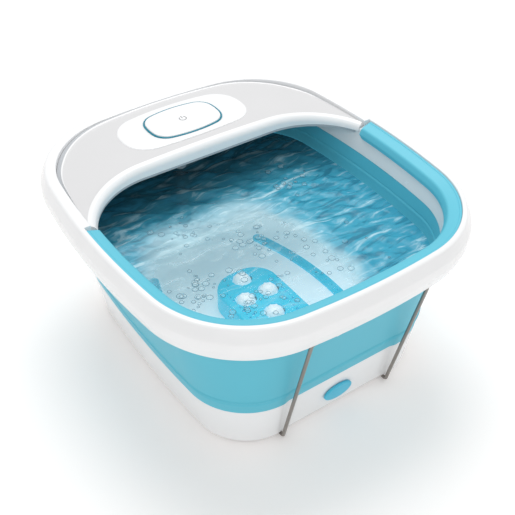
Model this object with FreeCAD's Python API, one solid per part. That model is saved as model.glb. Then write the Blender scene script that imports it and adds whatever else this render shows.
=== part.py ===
"""Collapsible pedicure foot bath: a white base, a folding silicone wall, a white rim with a soft lip
and a hood over the electrics, two wire supports, a bubble floor and four massage rollers.

Millimetres. +Z is up, the floor is z = 0, X runs across the feet and the drain side faces -Y.
"""

import FreeCAD, Part
import math
import os
from FreeCAD import Vector

# ---------------------------------------------------------------- driving dimensions
# Rim outline, measured on the outer edge of the soft lip.
RIM_HALF_W = 173.5
RIM_HALF_D = 194.5
RIM_SIDE_R = 840.0
RIM_END_R = 790.0
RIM_CORNER_R = 104.0

# Base outline, measured where the silicone wall meets the white base.
BASE_HALF_W = 140.5
BASE_HALF_D = 164.3
BASE_SIDE_R = 1340.0
BASE_END_R = 1260.0
BASE_CORNER_R = 68.0

FOOT_H = 2.0
SEAM_Z = 57.0
FLOOR_Z = 28.0
FLOOR_T = 2.5
SHELL_T = 2.6
WALL_T = 3.5
WALL_TOP_Z = 165.0
BOTTOM_INSET = 9.0
WALL_TOP_OUT = -13.4
WALL_TOP_IN = -17.0

RIM_BOTTOM_Z = 166.0
LIP_END_Y = 15.0

RECESS_HALF_W = 67.0
RECESS_DEPTH = 3.5

PANEL_TOP_Z = 53.5
PANEL_HALF_W = 37.0
PANEL_FRONT_Y = -80.0
PANEL_BACK_Y = 32.0
ROLLER_R = 11.0
ROLLER_HALF_W = 10.2
ROLLER_Z = 47.5
AXLE_R = 2.0
ROLLER_PLACES = [(0.0, 17.0), (-15.0, -14.0), (15.0, -14.0), (0.0, -47.0)]

STRIP_POINTS = [(73.0, 92.0), (92.5, 0.0), (89.0, -78.0)]
STRIP_W = 12.0

WIRE_R = 2.0
WIRE_HALF_W = 67.5
WIRE_PIVOT_Y = 195.0
WIRE_PIVOT_Z = 163.5
WIRE_FOOT_Y = 157.6
WIRE_FOOT_Z = 3.5
WIRE_HOOK = 5.0
CLIP_PLACES = (-38.0, 38.0)
CLIP_HALF_W = 5.0
CLIP_LIP = 3.4
CLIP_PLAY = 0.06
# each tier of a clip: its inner y, its lower z and its upper z
CLIP_TIERS = (
    (186.0, 175.2, 194.0),
    (193.4, WIRE_PIVOT_Z, 175.3),
    (191.4, WIRE_PIVOT_Z - 1.0, 170.5),
)

HOOD_TOP_Z = 202.5
HOOD_CROWN_R = 2100.0
HOOD_EDGE = -7.0
HOOD_FRONT_Y = 75.5
HOOD_FRONT_HALF = 80.0
HOOD_FRONT_R = 85.5
HOOD_LOW_Z = 188.0
HOOD_T = 2.5

BUTTON_Y = 130.5
BUTTON_TOP_Z = 205.0

DRAIN_Z = 32.3
DRAIN_BORE_R = 4.2
DUCT_Y = 143.0
DUCT_R = 9.0

UP = Vector(0, 0, 1)
ORIGIN = Vector(0, 0, 0)
PARTS = {}


# ---------------------------------------------------------------- outlines
def bowed_outline(half_w, half_d, side_r, end_r, corner_r):
    """Eight tangent arcs around a rectangle with bowed sides, anticlockwise from the +X side.
    Each arc is (centre x, centre y, radius, start angle, end angle)."""
    side_x = half_w - side_r
    end_y = half_d - end_r
    span = math.hypot(side_x, end_y)
    to_corner = side_r - corner_r
    along = (to_corner**2 - (end_r - corner_r) ** 2 + span**2) / (2 * span)
    across = math.sqrt(to_corner**2 - along**2)
    cx = side_x + (-side_x * along - end_y * across) / span
    cy = (end_y * along - side_x * across) / span
    a = math.atan2(cy, cx - side_x)
    b = math.atan2(cy - end_y, cx)
    pi = math.pi
    return [
        (side_x, 0, side_r, -a, a),
        (cx, cy, corner_r, a, b),
        (0, end_y, end_r, b, pi - b),
        (-cx, cy, corner_r, pi - b, pi - a),
        (-side_x, 0, side_r, pi - a, pi + a),
        (-cx, -cy, corner_r, pi + a, pi + b),
        (0, -end_y, end_r, pi + b, 2 * pi - b),
        (cx, -cy, corner_r, 2 * pi - b, 2 * pi - a),
    ]


RIM = bowed_outline(RIM_HALF_W, RIM_HALF_D, RIM_SIDE_R, RIM_END_R, RIM_CORNER_R)
BASE = bowed_outline(BASE_HALF_W, BASE_HALF_D, BASE_SIDE_R, BASE_END_R, BASE_CORNER_R)


def arc_point(arc, offset, share, z):
    """A point on one arc of an outline, at a share of its length."""
    cx, cy, radius, start, end = arc
    angle = start + (end - start) * share
    reach = radius + offset
    return Vector(cx + reach * math.cos(angle), cy + reach * math.sin(angle), z)


def outline_wire(outline, offset, z):
    edges = []
    for arc in outline:
        points = [arc_point(arc, offset, share, z) for share in (0.0, 0.5, 1.0)]
        edges.append(Part.Arc(*points).toShape())
    return Part.Wire(edges)


def plate(outline, offset, z_low, z_high):
    """A flat plate with the outline's shape."""
    return Part.Face(outline_wire(outline, offset, z_low)).extrude(Vector(0, 0, z_high - z_low))


def frustum(low, low_offset, z_low, high, high_offset, z_high):
    """A filled body whose sides run straight from one outline to another."""
    wires = [outline_wire(low, low_offset, z_low), outline_wire(high, high_offset, z_high)]
    return Part.makeLoft(wires, True, True)


def stack(*bodies):
    return bodies[0].multiFuse(list(bodies[1:])).removeSplitter()


# ---------------------------------------------------------------- sections, bands and paths
def rounded_edges(points, radii, closed):
    """Straight runs through points, joined by tangent arcs of the given radii."""
    count = len(points)
    corners = []
    for i, point in enumerate(points):
        if radii[i] == 0 or (not closed and i in (0, count - 1)):
            corners.append((point, None, point))
            continue
        back = (points[i - 1] - point).normalize()
        ahead = (points[(i + 1) % count] - point).normalize()
        half = back.getAngle(ahead) / 2
        reach = radii[i] / math.tan(half)
        middle = (back + ahead).normalize() * (radii[i] / math.sin(half) - radii[i])
        corners.append((point + back * reach, point + middle, point + ahead * reach))
    edges = []
    for i in range(count if closed else count - 1):
        entry, middle, leave = corners[i]
        following = corners[(i + 1) % count][0]
        if middle is not None:
            edges.append(Part.Arc(entry, middle, leave).toShape())
        edges.append(Part.LineSegment(leave, following).toShape())
    return edges


def section(corners):
    """A closed section from (outward offset, height, corner radius) triples."""
    points = [Vector(offset, 0, z) for offset, z, _ in corners]
    radii = [radius for _, _, radius in corners]
    return Part.Wire(rounded_edges(points, radii, True))


def band(outline, corners):
    """A ring with a constant section that follows an outline."""
    pieces = []
    for cx, cy, radius, start, end in outline:
        face = Part.Face(section(corners))
        face.translate(Vector(radius, 0, 0))
        face.rotate(ORIGIN, UP, math.degrees(start))
        centre = Vector(cx, cy, 0)
        face.translate(centre)
        pieces.append(face.revolve(centre, UP, math.degrees(end - start)))
    return stack(*pieces)


def rod(points, radii, radius):
    """A round bar along straight runs joined by tangent bends."""
    path = Part.Wire(rounded_edges(points, radii, False))
    direction = points[1] - points[0]
    ring = Part.Wire(Part.Circle(points[0], direction, radius).toShape())
    return path.makePipeShell([ring], True, True)


def cylinder(x, y, z, radius, length, axis=UP):
    return Part.makeCylinder(radius, length, Vector(x, y, z), axis)


def block(x_low, x_high, y_low, y_high, z_low, z_high):
    size = (x_high - x_low, y_high - y_low, z_high - z_low)
    return Part.makeBox(*size, Vector(x_low, y_low, z_low))


def group(solids):
    return Part.makeCompound(solids)


def keep(name, shape):
    PARTS[name] = shape


# ---------------------------------------------------------------- the flat recess in the front face
def front_face_y(z):
    """The front face of the tub before the recess, at height z and x = 0."""
    if z <= SEAM_Z:
        return -(BASE_HALF_D - BOTTOM_INSET * (SEAM_Z - z) / SEAM_Z)
    top = RIM_HALF_D + WALL_TOP_OUT
    return -(BASE_HALF_D + (top - BASE_HALF_D) * (z - SEAM_Z) / (WALL_TOP_Z - SEAM_Z))


def recess_tool(layer):
    """The space in front of the recessed face, moved in by a layer's depth."""
    profile = [(0.0, RECESS_DEPTH), (SEAM_Z, RECESS_DEPTH), (WALL_TOP_Z, 0.0)]
    far = -240.0
    half = RECESS_HALF_W + layer
    points = [Vector(-half, far, 0)]
    points += [Vector(-half, front_face_y(z) + depth + layer, z) for z, depth in profile]
    points += [Vector(-half, far, WALL_TOP_Z), Vector(-half, far, 0)]
    return Part.Face(Part.makePolygon(points)).extrude(Vector(2 * half, 0, 0))


def side_offset(z):
    """How far the base's side stands in from the base outline at height z."""
    return -BOTTOM_INSET * (SEAM_Z - z) / SEAM_Z


def notch_tools():
    """The four pockets under the base edge that take the feet of the support wires."""
    tools = []
    for side in (-1, 1):
        y_low, y_high = sorted((side * 146.0, side * 166.0))
        for x in (-WIRE_HALF_W, WIRE_HALF_W):
            tools.append(block(x - 3.2, x + 3.2, y_low, y_high, 0, 6.2))
    return group(tools)


# ---------------------------------------------------------------- base
def screw_places():
    """Where the bottom cover is screwed to bosses under the floor pan."""
    places = [(x, y) for x in (-112.0, 112.0) for y in (-100.0, 0.0, 110.0)]
    return places + [(-45.0, -132.0), (45.0, -132.0), (-45.0, 138.0), (45.0, 138.0)]


def base_shell():
    bottom = FOOT_H - 0.5
    edge = bottom + 3.0
    outer = stack(
        frustum(BASE, side_offset(bottom) - 3.0, bottom, BASE, side_offset(edge), edge),
        frustum(BASE, side_offset(edge), edge, BASE, 0, SEAM_Z),
    ).cut(recess_tool(0))
    hollow = frustum(BASE, side_offset(0) - SHELL_T, 0, BASE, -SHELL_T + 0.16, SEAM_Z + 1)
    shell = outer.cut(hollow.cut(recess_tool(SHELL_T)))
    ledge_out = side_offset(5) - 1.0
    ledge = plate(BASE, ledge_out, 4.6, 6.6).cut(plate(BASE, -18.0, 4, 7))
    ledge = ledge.cut(recess_tool(0.5)).cut(plate(BASE, -30, 0, 1))
    shell = shell.fuse(ledge).removeSplitter()
    shell = shell.cut(notch_tools())
    bore = cylinder(0, -170, DRAIN_Z, 6.0, 40, Vector(0, 1, 0))
    return shell.cut(bore)


def floor_pan():
    wall_out = -6.2
    wall_in = wall_out - SHELL_T
    low = FLOOR_Z - FLOOR_T
    outer = frustum(BASE, wall_out + side_offset(low), low, BASE, wall_out, SEAM_Z - 0.5)
    inner = stack(
        frustum(BASE, -24.0, FLOOR_Z, BASE, -14.0, FLOOR_Z + 3.5),
        frustum(BASE, -14.0, FLOOR_Z + 3.5, BASE, wall_in + 0.1, SEAM_Z + 1),
    )
    pan = outer.cut(recess_tool(-wall_out)).cut(inner.cut(recess_tool(-wall_in)))
    bosses = [cylinder(x, y, 4.4, 4.0, low - 4.3) for x, y in screw_places()]
    pilots = [cylinder(x, y, 4.3, 1.25, 12) for x, y in screw_places()]
    socket = cylinder(0, DUCT_Y, low, DUCT_R + 2.5, SEAM_Z - low - 3).common(outer)
    socket = socket.cut(cylinder(0, DUCT_Y, low - 1, DUCT_R, SEAM_Z))
    drain = cylinder(0, -170, DRAIN_Z, 6.0, 40, Vector(0, 1, 0))
    pan = pan.cut(cylinder(0, DUCT_Y, low - 1, DUCT_R, 20))
    pan = stack(pan, socket, *bosses)
    return pan.cut(group(pilots)).cut(drain)


def bottom_cover():
    sheet = plate(BASE, -12.4, FOOT_H, 4.4).cut(recess_tool(6.0)).cut(notch_tools())
    holes = [cylinder(x, y, FOOT_H - 1, 1.7, 5) for x, y in screw_places()]
    vents = []
    for row in range(6):
        y = 84 + 6 * row
        vents.append(block(-22, 22, y, y + 2.4, FOOT_H - 1, 6))
    return sheet.cut(group(holes)).cut(group(vents))


def screw(x, y, z, length, head_r=2.9, head_h=1.3, shank_r=1.2):
    """A pan-head screw driven upwards, with its head's upper face at z."""
    head = cylinder(x, y, z - head_h, head_r, head_h)
    slots = [
        block(x - 1.8, x + 1.8, y - 0.4, y + 0.4, z - head_h - 1, z - head_h + 0.6),
        block(x - 0.4, x + 0.4, y - 1.8, y + 1.8, z - head_h - 1, z - head_h + 0.6),
    ]
    return head.cut(group(slots)).fuse(cylinder(x, y, z - 0.01, shank_r, length))


def rubber_foot(x, y):
    pad = cylinder(x, y, 0, 11.0, FOOT_H)
    rim = [e for e in pad.Edges if abs(e.BoundBox.ZMax) < 0.01]
    return pad.makeFillet(0.8, rim)


def make_base():
    keep("base_shell", base_shell())
    keep("floor_pan", floor_pan())
    keep("bottom_cover", bottom_cover())
    keep("base_screws", group([screw(x, y, FOOT_H, 11) for x, y in screw_places()]))
    feet = [rubber_foot(x, y) for x in (-92, 92) for y in (-118, 118)]
    keep("rubber_feet", group(feet))


# ---------------------------------------------------------------- folding wall
def wall_bead():
    """The thick foot of the wall, held between the base shell and the floor pan."""
    z_low = 46.0
    z_high = SEAM_Z + 3
    outer = frustum(BASE, -2.75 + side_offset(z_low), z_low, BASE, -2.2, z_high)
    inner = frustum(BASE, -6.1 + side_offset(z_low), z_low - 0.01, BASE, -5.5, z_high + 0.01)
    return outer.cut(recess_tool(2.75)).cut(inner.cut(recess_tool(6.1)))


def silicone_wall():
    outer = frustum(BASE, 0, SEAM_Z + 0.05, RIM, WALL_TOP_OUT, WALL_TOP_Z)
    inner = frustum(BASE, -WALL_T, SEAM_Z, RIM, WALL_TOP_IN, WALL_TOP_Z + 0.01)
    wall = outer.cut(recess_tool(0)).cut(inner.cut(recess_tool(WALL_T)))
    top_bead = band(RIM, [
        (-14.4, 163.0, 0), (-11.9, 163.0, 0), (-11.9, 165.3, 0), (-10.2, 174.2, 0.8),
        (-12.6, 174.2, 0.8), (-14.4, 165.3, 0),
    ])
    return stack(wall, wall_bead(), top_bead)


def make_wall():
    keep("silicone_wall", silicone_wall())
    keep("wall_clamp_ring", wall_clamp_ring())
    keep("clamp_screws", group([screw(p.x, p.y, 172.3, 9) for p in clamp_places()]))


def clamp_places():
    """Screw places of the clamp ring, in the hollow under the rim."""
    offset = -5.0
    places = [arc_point(RIM[i], offset, 0.5, 0) for i in (1, 2, 3, 5, 6, 7)]
    places += [arc_point(RIM[i], offset, share, 0) for i in (0, 4) for share in (0.25, 0.75)]
    return places


def wall_clamp_ring():
    ring = band(RIM, [
        (-11.6, 164.4, 0.4), (-9.0, 164.4, 0.4), (-9.0, 172.3, 0), (-1.4, 172.3, 0.4),
        (-1.4, 174.8, 0.4), (-9.9, 174.8, 0.4), (-11.6, 165.9, 0),
    ])
    holes = [cylinder(p.x, p.y, 170, 1.5, 8) for p in clamp_places()]
    return ring.cut(group(holes))


# ---------------------------------------------------------------- rim
def rim_frame():
    frame = band(RIM, [
        (7.6, RIM_BOTTOM_Z, 0.6), (10.8, 177.0, 12), (10.8, 187.0, 9), (4.5, 200.0, 5),
        (0.0, 200.2, 1.0), (0.0, 195.2, 0), (-12.0, 190.6, 1.5), (-17.0, 165.2, 0.5),
        (-14.6, 165.2, 0.5), (-10.0, 188.6, 1.0), (-2.2, 192.0, 2.0), (3.0, 196.4, 4.0),
        (8.6, 186.3, 7.0), (8.6, 177.3, 10), (5.5, RIM_BOTTOM_Z, 0.5),
    ])
    border = band(RIM, [
        (0.6, 200.2, 0), (-6.6, 200.2, 0.6), (-6.6, 192.4, 0), (0.6, 195.2, 0),
    ]).cut(block(-250, 250, -250, LIP_END_Y + 4, 150, 250))
    bosses = [cylinder(p.x, p.y, 174.9, 3.8, 19) for p in clamp_places()]
    space = band(RIM, [
        (-13.0, 174.0, 0), (8.0, 174.0, 0), (8.6, 186.3, 0), (3.0, 196.6, 0), (-2.2, 192.5, 0),
        (-10.0, 189.0, 0),
    ])
    bosses = [boss.common(space) for boss in bosses]
    frame = stack(frame, border, *bosses)
    pilots = [cylinder(p.x, p.y, 170, 1.25, 14) for p in clamp_places()]
    frame = frame.cut(group(pilots))
    frame = frame.cut(cylinder(70, 185, 178, 5.6, 30, Vector(0, 1, 0)))
    return max(frame.Solids, key=lambda solid: solid.Volume)


def lip_trim():
    lip = band(RIM, [
        (-0.25, 198.6, 0.6), (-13.3, 194.2, 4.0), (-16.0, 187.0, 3.0), (-16.0, 183.6, 1.2),
        (-13.9, 182.6, 0.3), (-12.3, 190.95, 0), (-0.25, 195.5, 0),
    ])
    return lip.cut(block(-250, 250, LIP_END_Y, 250, 150, 250))


def cord_gland():
    """The moulded inlet that the mains lead would pass through, at the back of the rim."""
    axis = Vector(0, 1, 0)
    body = cylinder(70, 196.5, 178, 5.5, 8.5, axis)
    flange = cylinder(70, 203.4, 178, 7.0, 2.0, axis)
    bore = cylinder(70, 190, 178, 3.4, 30, axis)
    return body.fuse(flange).cut(bore)


def make_rim(frame):
    keep("rim_frame", frame)
    keep("lip_trim", lip_trim())
    keep("cord_gland", cord_gland())


# ---------------------------------------------------------------- support wires
def support_wire(side):
    """A U-shaped bail: a bar that turns under the rim, two legs, and two feet hooked under the base."""
    legs = []
    for x in (-WIRE_HALF_W, WIRE_HALF_W):
        tip = Vector(x, side * (WIRE_FOOT_Y - WIRE_HOOK), WIRE_FOOT_Z)
        foot = Vector(x, side * WIRE_FOOT_Y, WIRE_FOOT_Z)
        pivot = Vector(x, side * WIRE_PIVOT_Y, WIRE_PIVOT_Z)
        legs.append([tip, foot, pivot])
    points = legs[0] + legs[1][::-1]
    return rod(points, [0, 3.2, 4.0, 4.0, 3.2, 0], WIRE_R)


def wire_clips(frame):
    """Snap hooks under the rim, open below, that the bars of both support wires turn in."""
    clips = []
    outer_y = WIRE_PIVOT_Y + CLIP_LIP
    for side in (-1, 1):
        for x in CLIP_PLACES:
            x_low = x - CLIP_HALF_W
            x_high = x + CLIP_HALF_W
            tiers = []
            for inner_y, z_low, z_high in CLIP_TIERS:
                y_low, y_high = sorted((side * inner_y, side * outer_y))
                tiers.append(block(x_low, x_high, y_low, y_high, z_low, z_high))
            bore_r = WIRE_R + CLIP_PLAY
            length = 2 * CLIP_HALF_W + 2
            bore = cylinder(x_low - 1, side * WIRE_PIVOT_Y, WIRE_PIVOT_Z, bore_r, length, Vector(1, 0, 0))
            hook = stack(*tiers).cut(bore).cut(frame)
            clips.append(max(hook.Solids, key=lambda solid: solid.Volume))
    return group(clips)


def make_wires(frame):
    keep("front_support_wire", support_wire(-1))
    keep("rear_support_wire", support_wire(1))
    keep("wire_clips", wire_clips(frame))


# ---------------------------------------------------------------- hood
def in_front_of_hood(inset, z_low, z_high):
    """The space in front of the hood's curved front edge, grown back by inset."""
    radius = HOOD_FRONT_R + inset
    centre_y = HOOD_FRONT_Y - HOOD_FRONT_R
    end_angle = math.asin((25.0 - centre_y) / HOOD_FRONT_R)
    half_angle = (end_angle + math.pi / 2) / 2
    z = z_low

    def on_arc(angle, sign):
        x = HOOD_FRONT_HALF + radius * math.cos(angle)
        return Vector(sign * x, centre_y + radius * math.sin(angle), z)

    right = [on_arc(angle, 1) for angle in (math.pi / 2, half_angle, end_angle)]
    left = [on_arc(angle, -1) for angle in (end_angle, half_angle, math.pi / 2)]
    far = [Vector(x, v, z) for x, v in ((230, 18 + inset), (230, -250), (-230, -250), (-230, 18 + inset))]
    edges = [Part.Arc(*right).toShape(), Part.Arc(*left).toShape()]
    run = [right[2]] + far + [left[0]]
    edges += [Part.LineSegment(run[i], run[i + 1]).toShape() for i in range(len(run) - 1)]
    edges.append(Part.LineSegment(left[2], right[0]).toShape())
    wire = Part.Wire(Part.__sortEdges__(edges))
    return Part.Face(wire).extrude(Vector(0, 0, z_high - z_low))


def crown(drop):
    """The big cylinder that gives the hood its gently arched top."""
    radius = HOOD_CROWN_R - drop
    centre_z = HOOD_TOP_Z - HOOD_CROWN_R
    return cylinder(0, -300, centre_z, radius, 700, Vector(0, 1, 0))


def hood_body(inset, z_low, round_r):
    body = plate(RIM, HOOD_EDGE - inset, z_low, 215).cut(in_front_of_hood(inset, 100, 260))
    body = body.common(crown(inset))
    top_front = []
    for edge in body.Edges:
        box = edge.BoundBox
        level = box.ZMin > 192 and box.ZLength < 8
        if level and box.YMax < HOOD_FRONT_Y + inset + 1 and box.YMin > 21:
            if box.XLength > 20:
                top_front.append(edge)
    return body.makeFillet(round_r, top_front)


def hood_cover(frame):
    cover = hood_body(0, HOOD_LOW_Z, 5.5).cut(hood_body(HOOD_T, HOOD_LOW_Z - 1, 3.4))
    opening = plate(BUTTON_OUTLINE, 2.9, 0, 50)
    opening.translate(Vector(0, BUTTON_Y, 180))
    cover = cover.cut(opening).cut(frame)
    return max(cover.Solids, key=lambda solid: solid.Volume)


BUTTON_OUTLINE = bowed_outline(43.0, 28.0, 60.0, 130.0, 19.0)
PLATEAU_OUTLINE = bowed_outline(76.0, 36.7, 60.0, 420.0, 30.0)


def placed(outline, offset, z_low, z_high):
    """A plate with its outline centred on the button."""
    shape = plate(outline, offset, z_low, z_high)
    shape.translate(Vector(0, BUTTON_Y, 0))
    return shape


def button_bezel():
    """The raised oval around the button, following the hood's arched top."""
    outer = placed(PLATEAU_OUTLINE, 0, 198.5, 206).common(crown(-1.0)).cut(crown(0.0))
    collar = placed(BUTTON_OUTLINE, 2.6, 196.5, 203.2).cut(placed(BUTTON_OUTLINE, 0.9, 190, 210))
    collar = collar.common(crown(-1.0))
    return outer.cut(placed(BUTTON_OUTLINE, 0.9, 190, 210)).fuse(collar).removeSplitter()


def power_button():
    cap = placed(BUTTON_OUTLINE, -1.0, 200.5, BUTTON_TOP_Z)
    rim = [e for e in cap.Edges if e.BoundBox.ZMin > BUTTON_TOP_Z - 0.01]
    cap = cap.makeFillet(1.2, rim)
    stem = cylinder(0, BUTTON_Y, 196.4, 5.0, 4.2)
    return cap.fuse(stem).removeSplitter()


def light_ring():
    ring = placed(BUTTON_OUTLINE, 0.75, 199.0, 203.9)
    return ring.cut(placed(BUTTON_OUTLINE, -0.7, 190, 210))


def hood_tray(frame):
    """The lower half of the hood: a soffit behind the front edge and a deep box for the electrics."""
    soffit = plate(RIM, -13.6, 185.6, HOOD_LOW_Z).cut(in_front_of_hood(0.2, 100, 260))
    front = block(-250, 250, -250, 98, 100, 260)
    box = plate(RIM, -19.5, 171.5, 186).cut(front)
    inner = plate(RIM, -21.7, 173.7, 195).cut(block(-250, 250, -250, 100.2, 100, 260))
    duct = cylinder(0, DUCT_Y, 165, 4.5, 12)
    tray = soffit.fuse(box).cut(inner).cut(duct)
    posts = [cylinder(x, y, 173.6, 3.6, 10) for x, y in tray_posts()]
    tray = stack(tray, *posts)
    pilots = [cylinder(x, y, 170, 1.2, 12) for x, y in tray_posts()]
    return tray.cut(group(pilots)).cut(frame)


def tray_posts():
    return [(x, y) for x in (-128.0, 128.0) for y in (110.0, 142.0)]


def hood_screws():
    return group([screw(x, y, 171.5, 10) for x, y in tray_posts()])


def circuit_board():
    board = block(-46, 46, 106, 158, 188.4, 190.0)
    chips = [
        block(-36, -22, 114, 128, 189.9, 192.4),
        block(20, 40, 112, 122, 189.9, 193.6),
        block(22, 34, 136, 150, 189.9, 194.2),
        cylinder(-32, 144, 189.9, 4.0, 5.6),
    ]
    return stack(board, *chips)


def button_switch():
    body = block(-4.5, 4.5, BUTTON_Y - 4.5, BUTTON_Y + 4.5, 190.05, 193.2)
    return body.fuse(cylinder(0, BUTTON_Y, 193.1, 1.8, 1.4))


def button_spring():
    """The return spring under the cap, drawn as the sleeve that its coil fills."""
    outer = cylinder(0, BUTTON_Y, 190.1, 8.0, 10.3)
    return outer.cut(cylinder(0, BUTTON_Y, 190, 7.0, 11))


def air_pump():
    shell = block(-112, -60, 112, 148, 176.2, 192.0)
    upright = [e for e in shell.Edges if e.BoundBox.ZLength > 10]
    shell = shell.makeFillet(5, upright)
    spout = cylinder(-60.5, 130, 184, 3.0, 13, Vector(1, 0, 0))
    return shell.fuse(spout).cut(cylinder(-62, 130, 184, 1.6, 20, Vector(1, 0, 0)))


def pump_mounts():
    places = [(x, y) for x in (-105, -67) for y in (118, 142)]
    return group([cylinder(x, y, 173.75, 3.2, 2.4) for x, y in places])


def make_hood(frame):
    keep("hood_cover", hood_cover(frame))
    keep("hood_tray", hood_tray(frame))
    keep("hood_screws", hood_screws())
    keep("button_bezel", button_bezel())
    keep("light_ring", light_ring())
    keep("power_button", power_button())
    keep("button_switch", button_switch())
    keep("button_spring", button_spring())
    keep("circuit_board", circuit_board())
    keep("air_pump", air_pump())
    keep("pump_mounts", pump_mounts())


# ---------------------------------------------------------------- duct between hood and base
def cable_duct():
    """A bellows sleeve with its two ends in the base socket and the hood tray."""
    z_low, z_high = SEAM_Z - 3.0, 171.4
    folds = 14
    pitch = (z_high - z_low) / (2 * folds)
    outer = []
    for i in range(2 * folds + 1):
        outer.append(Vector(DUCT_R if i % 2 else DUCT_R - 2.2, 0, z_low + i * pitch))
    inner = [Vector(p.x - 1.2, 0, p.z) for p in reversed(outer)]
    face = Part.Face(Part.makePolygon(outer + inner + [outer[0]]))
    tube = face.revolve(ORIGIN, UP, 360)
    tube.translate(Vector(0, DUCT_Y, 0))
    return tube


def wiring_loom():
    """The bundle of leads inside the bellows."""
    return cylinder(0, DUCT_Y, SEAM_Z - 30, 3.2, 156)


# ---------------------------------------------------------------- air system in the floor
def strip_arc():
    """Centre x, centre y and radius of the circle that the bubble strips follow."""
    circle = Part.Circle(*[Vector(x, y, 0) for x, y in STRIP_POINTS])
    return circle.Center, circle.Radius


def curved_strip(side, width, z_low, z_high, trim):
    """A bent bar with round ends, along one bubble strip."""
    centre, radius = strip_arc()
    start = math.atan2(STRIP_POINTS[2][1] - centre.y, STRIP_POINTS[2][0] - centre.x)
    end = math.atan2(STRIP_POINTS[0][1] - centre.y, STRIP_POINTS[0][0] - centre.x)
    start += trim / radius
    end -= trim / radius

    def at(reach, angle):
        x = centre.x + reach * math.cos(angle)
        return Vector(side * x, centre.y + reach * math.sin(angle), z_low)

    half = width / 2
    middle = (start + end) / 2
    cap = half / radius
    edges = [
        Part.Arc(at(radius + half, start), at(radius + half, middle), at(radius + half, end)),
        Part.Arc(at(radius + half, end), at(radius, end + cap), at(radius - half, end)),
        Part.Arc(at(radius - half, end), at(radius - half, middle), at(radius - half, start)),
        Part.Arc(at(radius - half, start), at(radius, start - cap), at(radius + half, start)),
    ]
    wire = Part.Wire([edge.toShape() for edge in edges])
    return Part.Face(wire).extrude(Vector(0, 0, z_high - z_low))


def bubble_strip(side):
    strip = curved_strip(side, STRIP_W, FLOOR_Z, FLOOR_Z + 3.4, 0)
    top = [e for e in strip.Edges if e.BoundBox.ZMin > FLOOR_Z + 3.3]
    strip = strip.makeFillet(1.2, top)
    centre, radius = strip_arc()
    start = math.atan2(STRIP_POINTS[2][1] - centre.y, STRIP_POINTS[2][0] - centre.x)
    end = math.atan2(STRIP_POINTS[0][1] - centre.y, STRIP_POINTS[0][0] - centre.x)
    count = 16
    holes = []
    for i in range(count):
        angle = start + (end - start) * (i + 0.5) / count
        x = centre.x + radius * math.cos(angle)
        y = centre.y + radius * math.sin(angle)
        holes.append(cylinder(side * x, y, FLOOR_Z - 1, 0.9, 6))
    return strip.cut(group(holes))


def air_channel(side):
    """The moulded gutter under the floor that feeds one bubble strip."""
    low, high = 20.5, FLOOR_Z - FLOOR_T
    outer = curved_strip(side, STRIP_W - 1, low, high, 0)
    return outer.cut(curved_strip(side, STRIP_W - 4, low + 1.5, high + 1, 0))


def air_hoses():
    """Two soft tubes from the tee to the gutters."""
    z = 16.0
    tubes = []
    for side in (-1, 1):
        points = [
            Vector(side * 9.0, 112, z),
            Vector(side * 34, 112, z),
            Vector(side * 62, 84, z),
            Vector(side * 82, 60, z),
        ]
        tubes.append(rod(points, [0, 14, 14, 0], 3.0))
    return group(tubes)


def air_tee():
    across = cylinder(-9, 112, 16, 4.2, 18, Vector(1, 0, 0))
    stem = cylinder(0, 112, 16, 4.0, 22, Vector(0, 1, 0))
    return across.fuse(stem)


def panel_outline(inset, z):
    """The centre panel's plan shape: wide, with a rounder back end."""
    half = PANEL_HALF_W - inset
    front, back = PANEL_FRONT_Y + inset, PANEL_BACK_Y - inset
    points = [Vector(-half, front, z), Vector(half, front, z), Vector(half, back, z), Vector(-half, back, z)]
    radii = [22 - inset, 22 - inset, 30 - inset, 30 - inset]
    return Part.Wire(rounded_edges(points, radii, True))


def panel_holes():
    """Air holes: a cluster on each side of the rollers and two rows at the front."""
    places = [(28.0, 4.0 - 6.5 * i) for i in range(9)]
    places += [(22.0, -26.0 - 6.5 * i) for i in range(6)]
    places += [(11.0, -66.0), (17.0, -69.0)]
    holes = []
    for index, (x, y) in enumerate(places):
        for sign in (-1, 1):
            holes.append(cylinder(sign * x, y, PANEL_TOP_Z - 5, 1.1 + 0.35 * (index % 3), 8))
    return group(holes)


def axle_spans():
    """Each axle as (y, half length)."""
    return [(17.0, 15.5), (-14.0, 31.5), (-47.0, 15.5)]


def roller_panel():
    height = PANEL_TOP_Z - FLOOR_Z
    outer = Part.Face(panel_outline(0, FLOOR_Z)).extrude(Vector(0, 0, height))
    top = [e for e in outer.Edges if e.BoundBox.ZMin > PANEL_TOP_Z - 0.01]
    outer = outer.makeFillet(3.5, top)
    inner = Part.Face(panel_outline(2.4, FLOOR_Z - 1)).extrude(Vector(0, 0, height - 1.6))
    panel = outer.cut(inner)
    ribs = []
    for y in (17.0, -47.0):
        for x in (-15.0, 12.6):
            ribs.append(block(x, x + 2.4, y - 5, y + 5, 42, PANEL_TOP_Z - 2))
    for x in (-31.0, -1.2, 28.6):
        ribs.append(block(x, x + 2.4, -19, -9, 42, PANEL_TOP_Z - 2))
    panel = stack(panel, *ribs)
    wells = [cylinder(x, y, FLOOR_Z, ROLLER_R + 1.2, 40) for x, y in ROLLER_PLACES]
    wells = group(wells).common(block(-60, 60, -90, 60, PANEL_TOP_Z - 2.6, 80))
    for y, half in axle_spans():
        bore = cylinder(-half, y, ROLLER_Z, AXLE_R, 2 * half, Vector(1, 0, 0))
        panel = panel.cut(bore)
    return panel.cut(wells).cut(panel_holes())


def roller_axles():
    return group([
        cylinder(-half, y, ROLLER_Z, AXLE_R, 2 * half, Vector(1, 0, 0)) for y, half in axle_spans()
    ])


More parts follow.
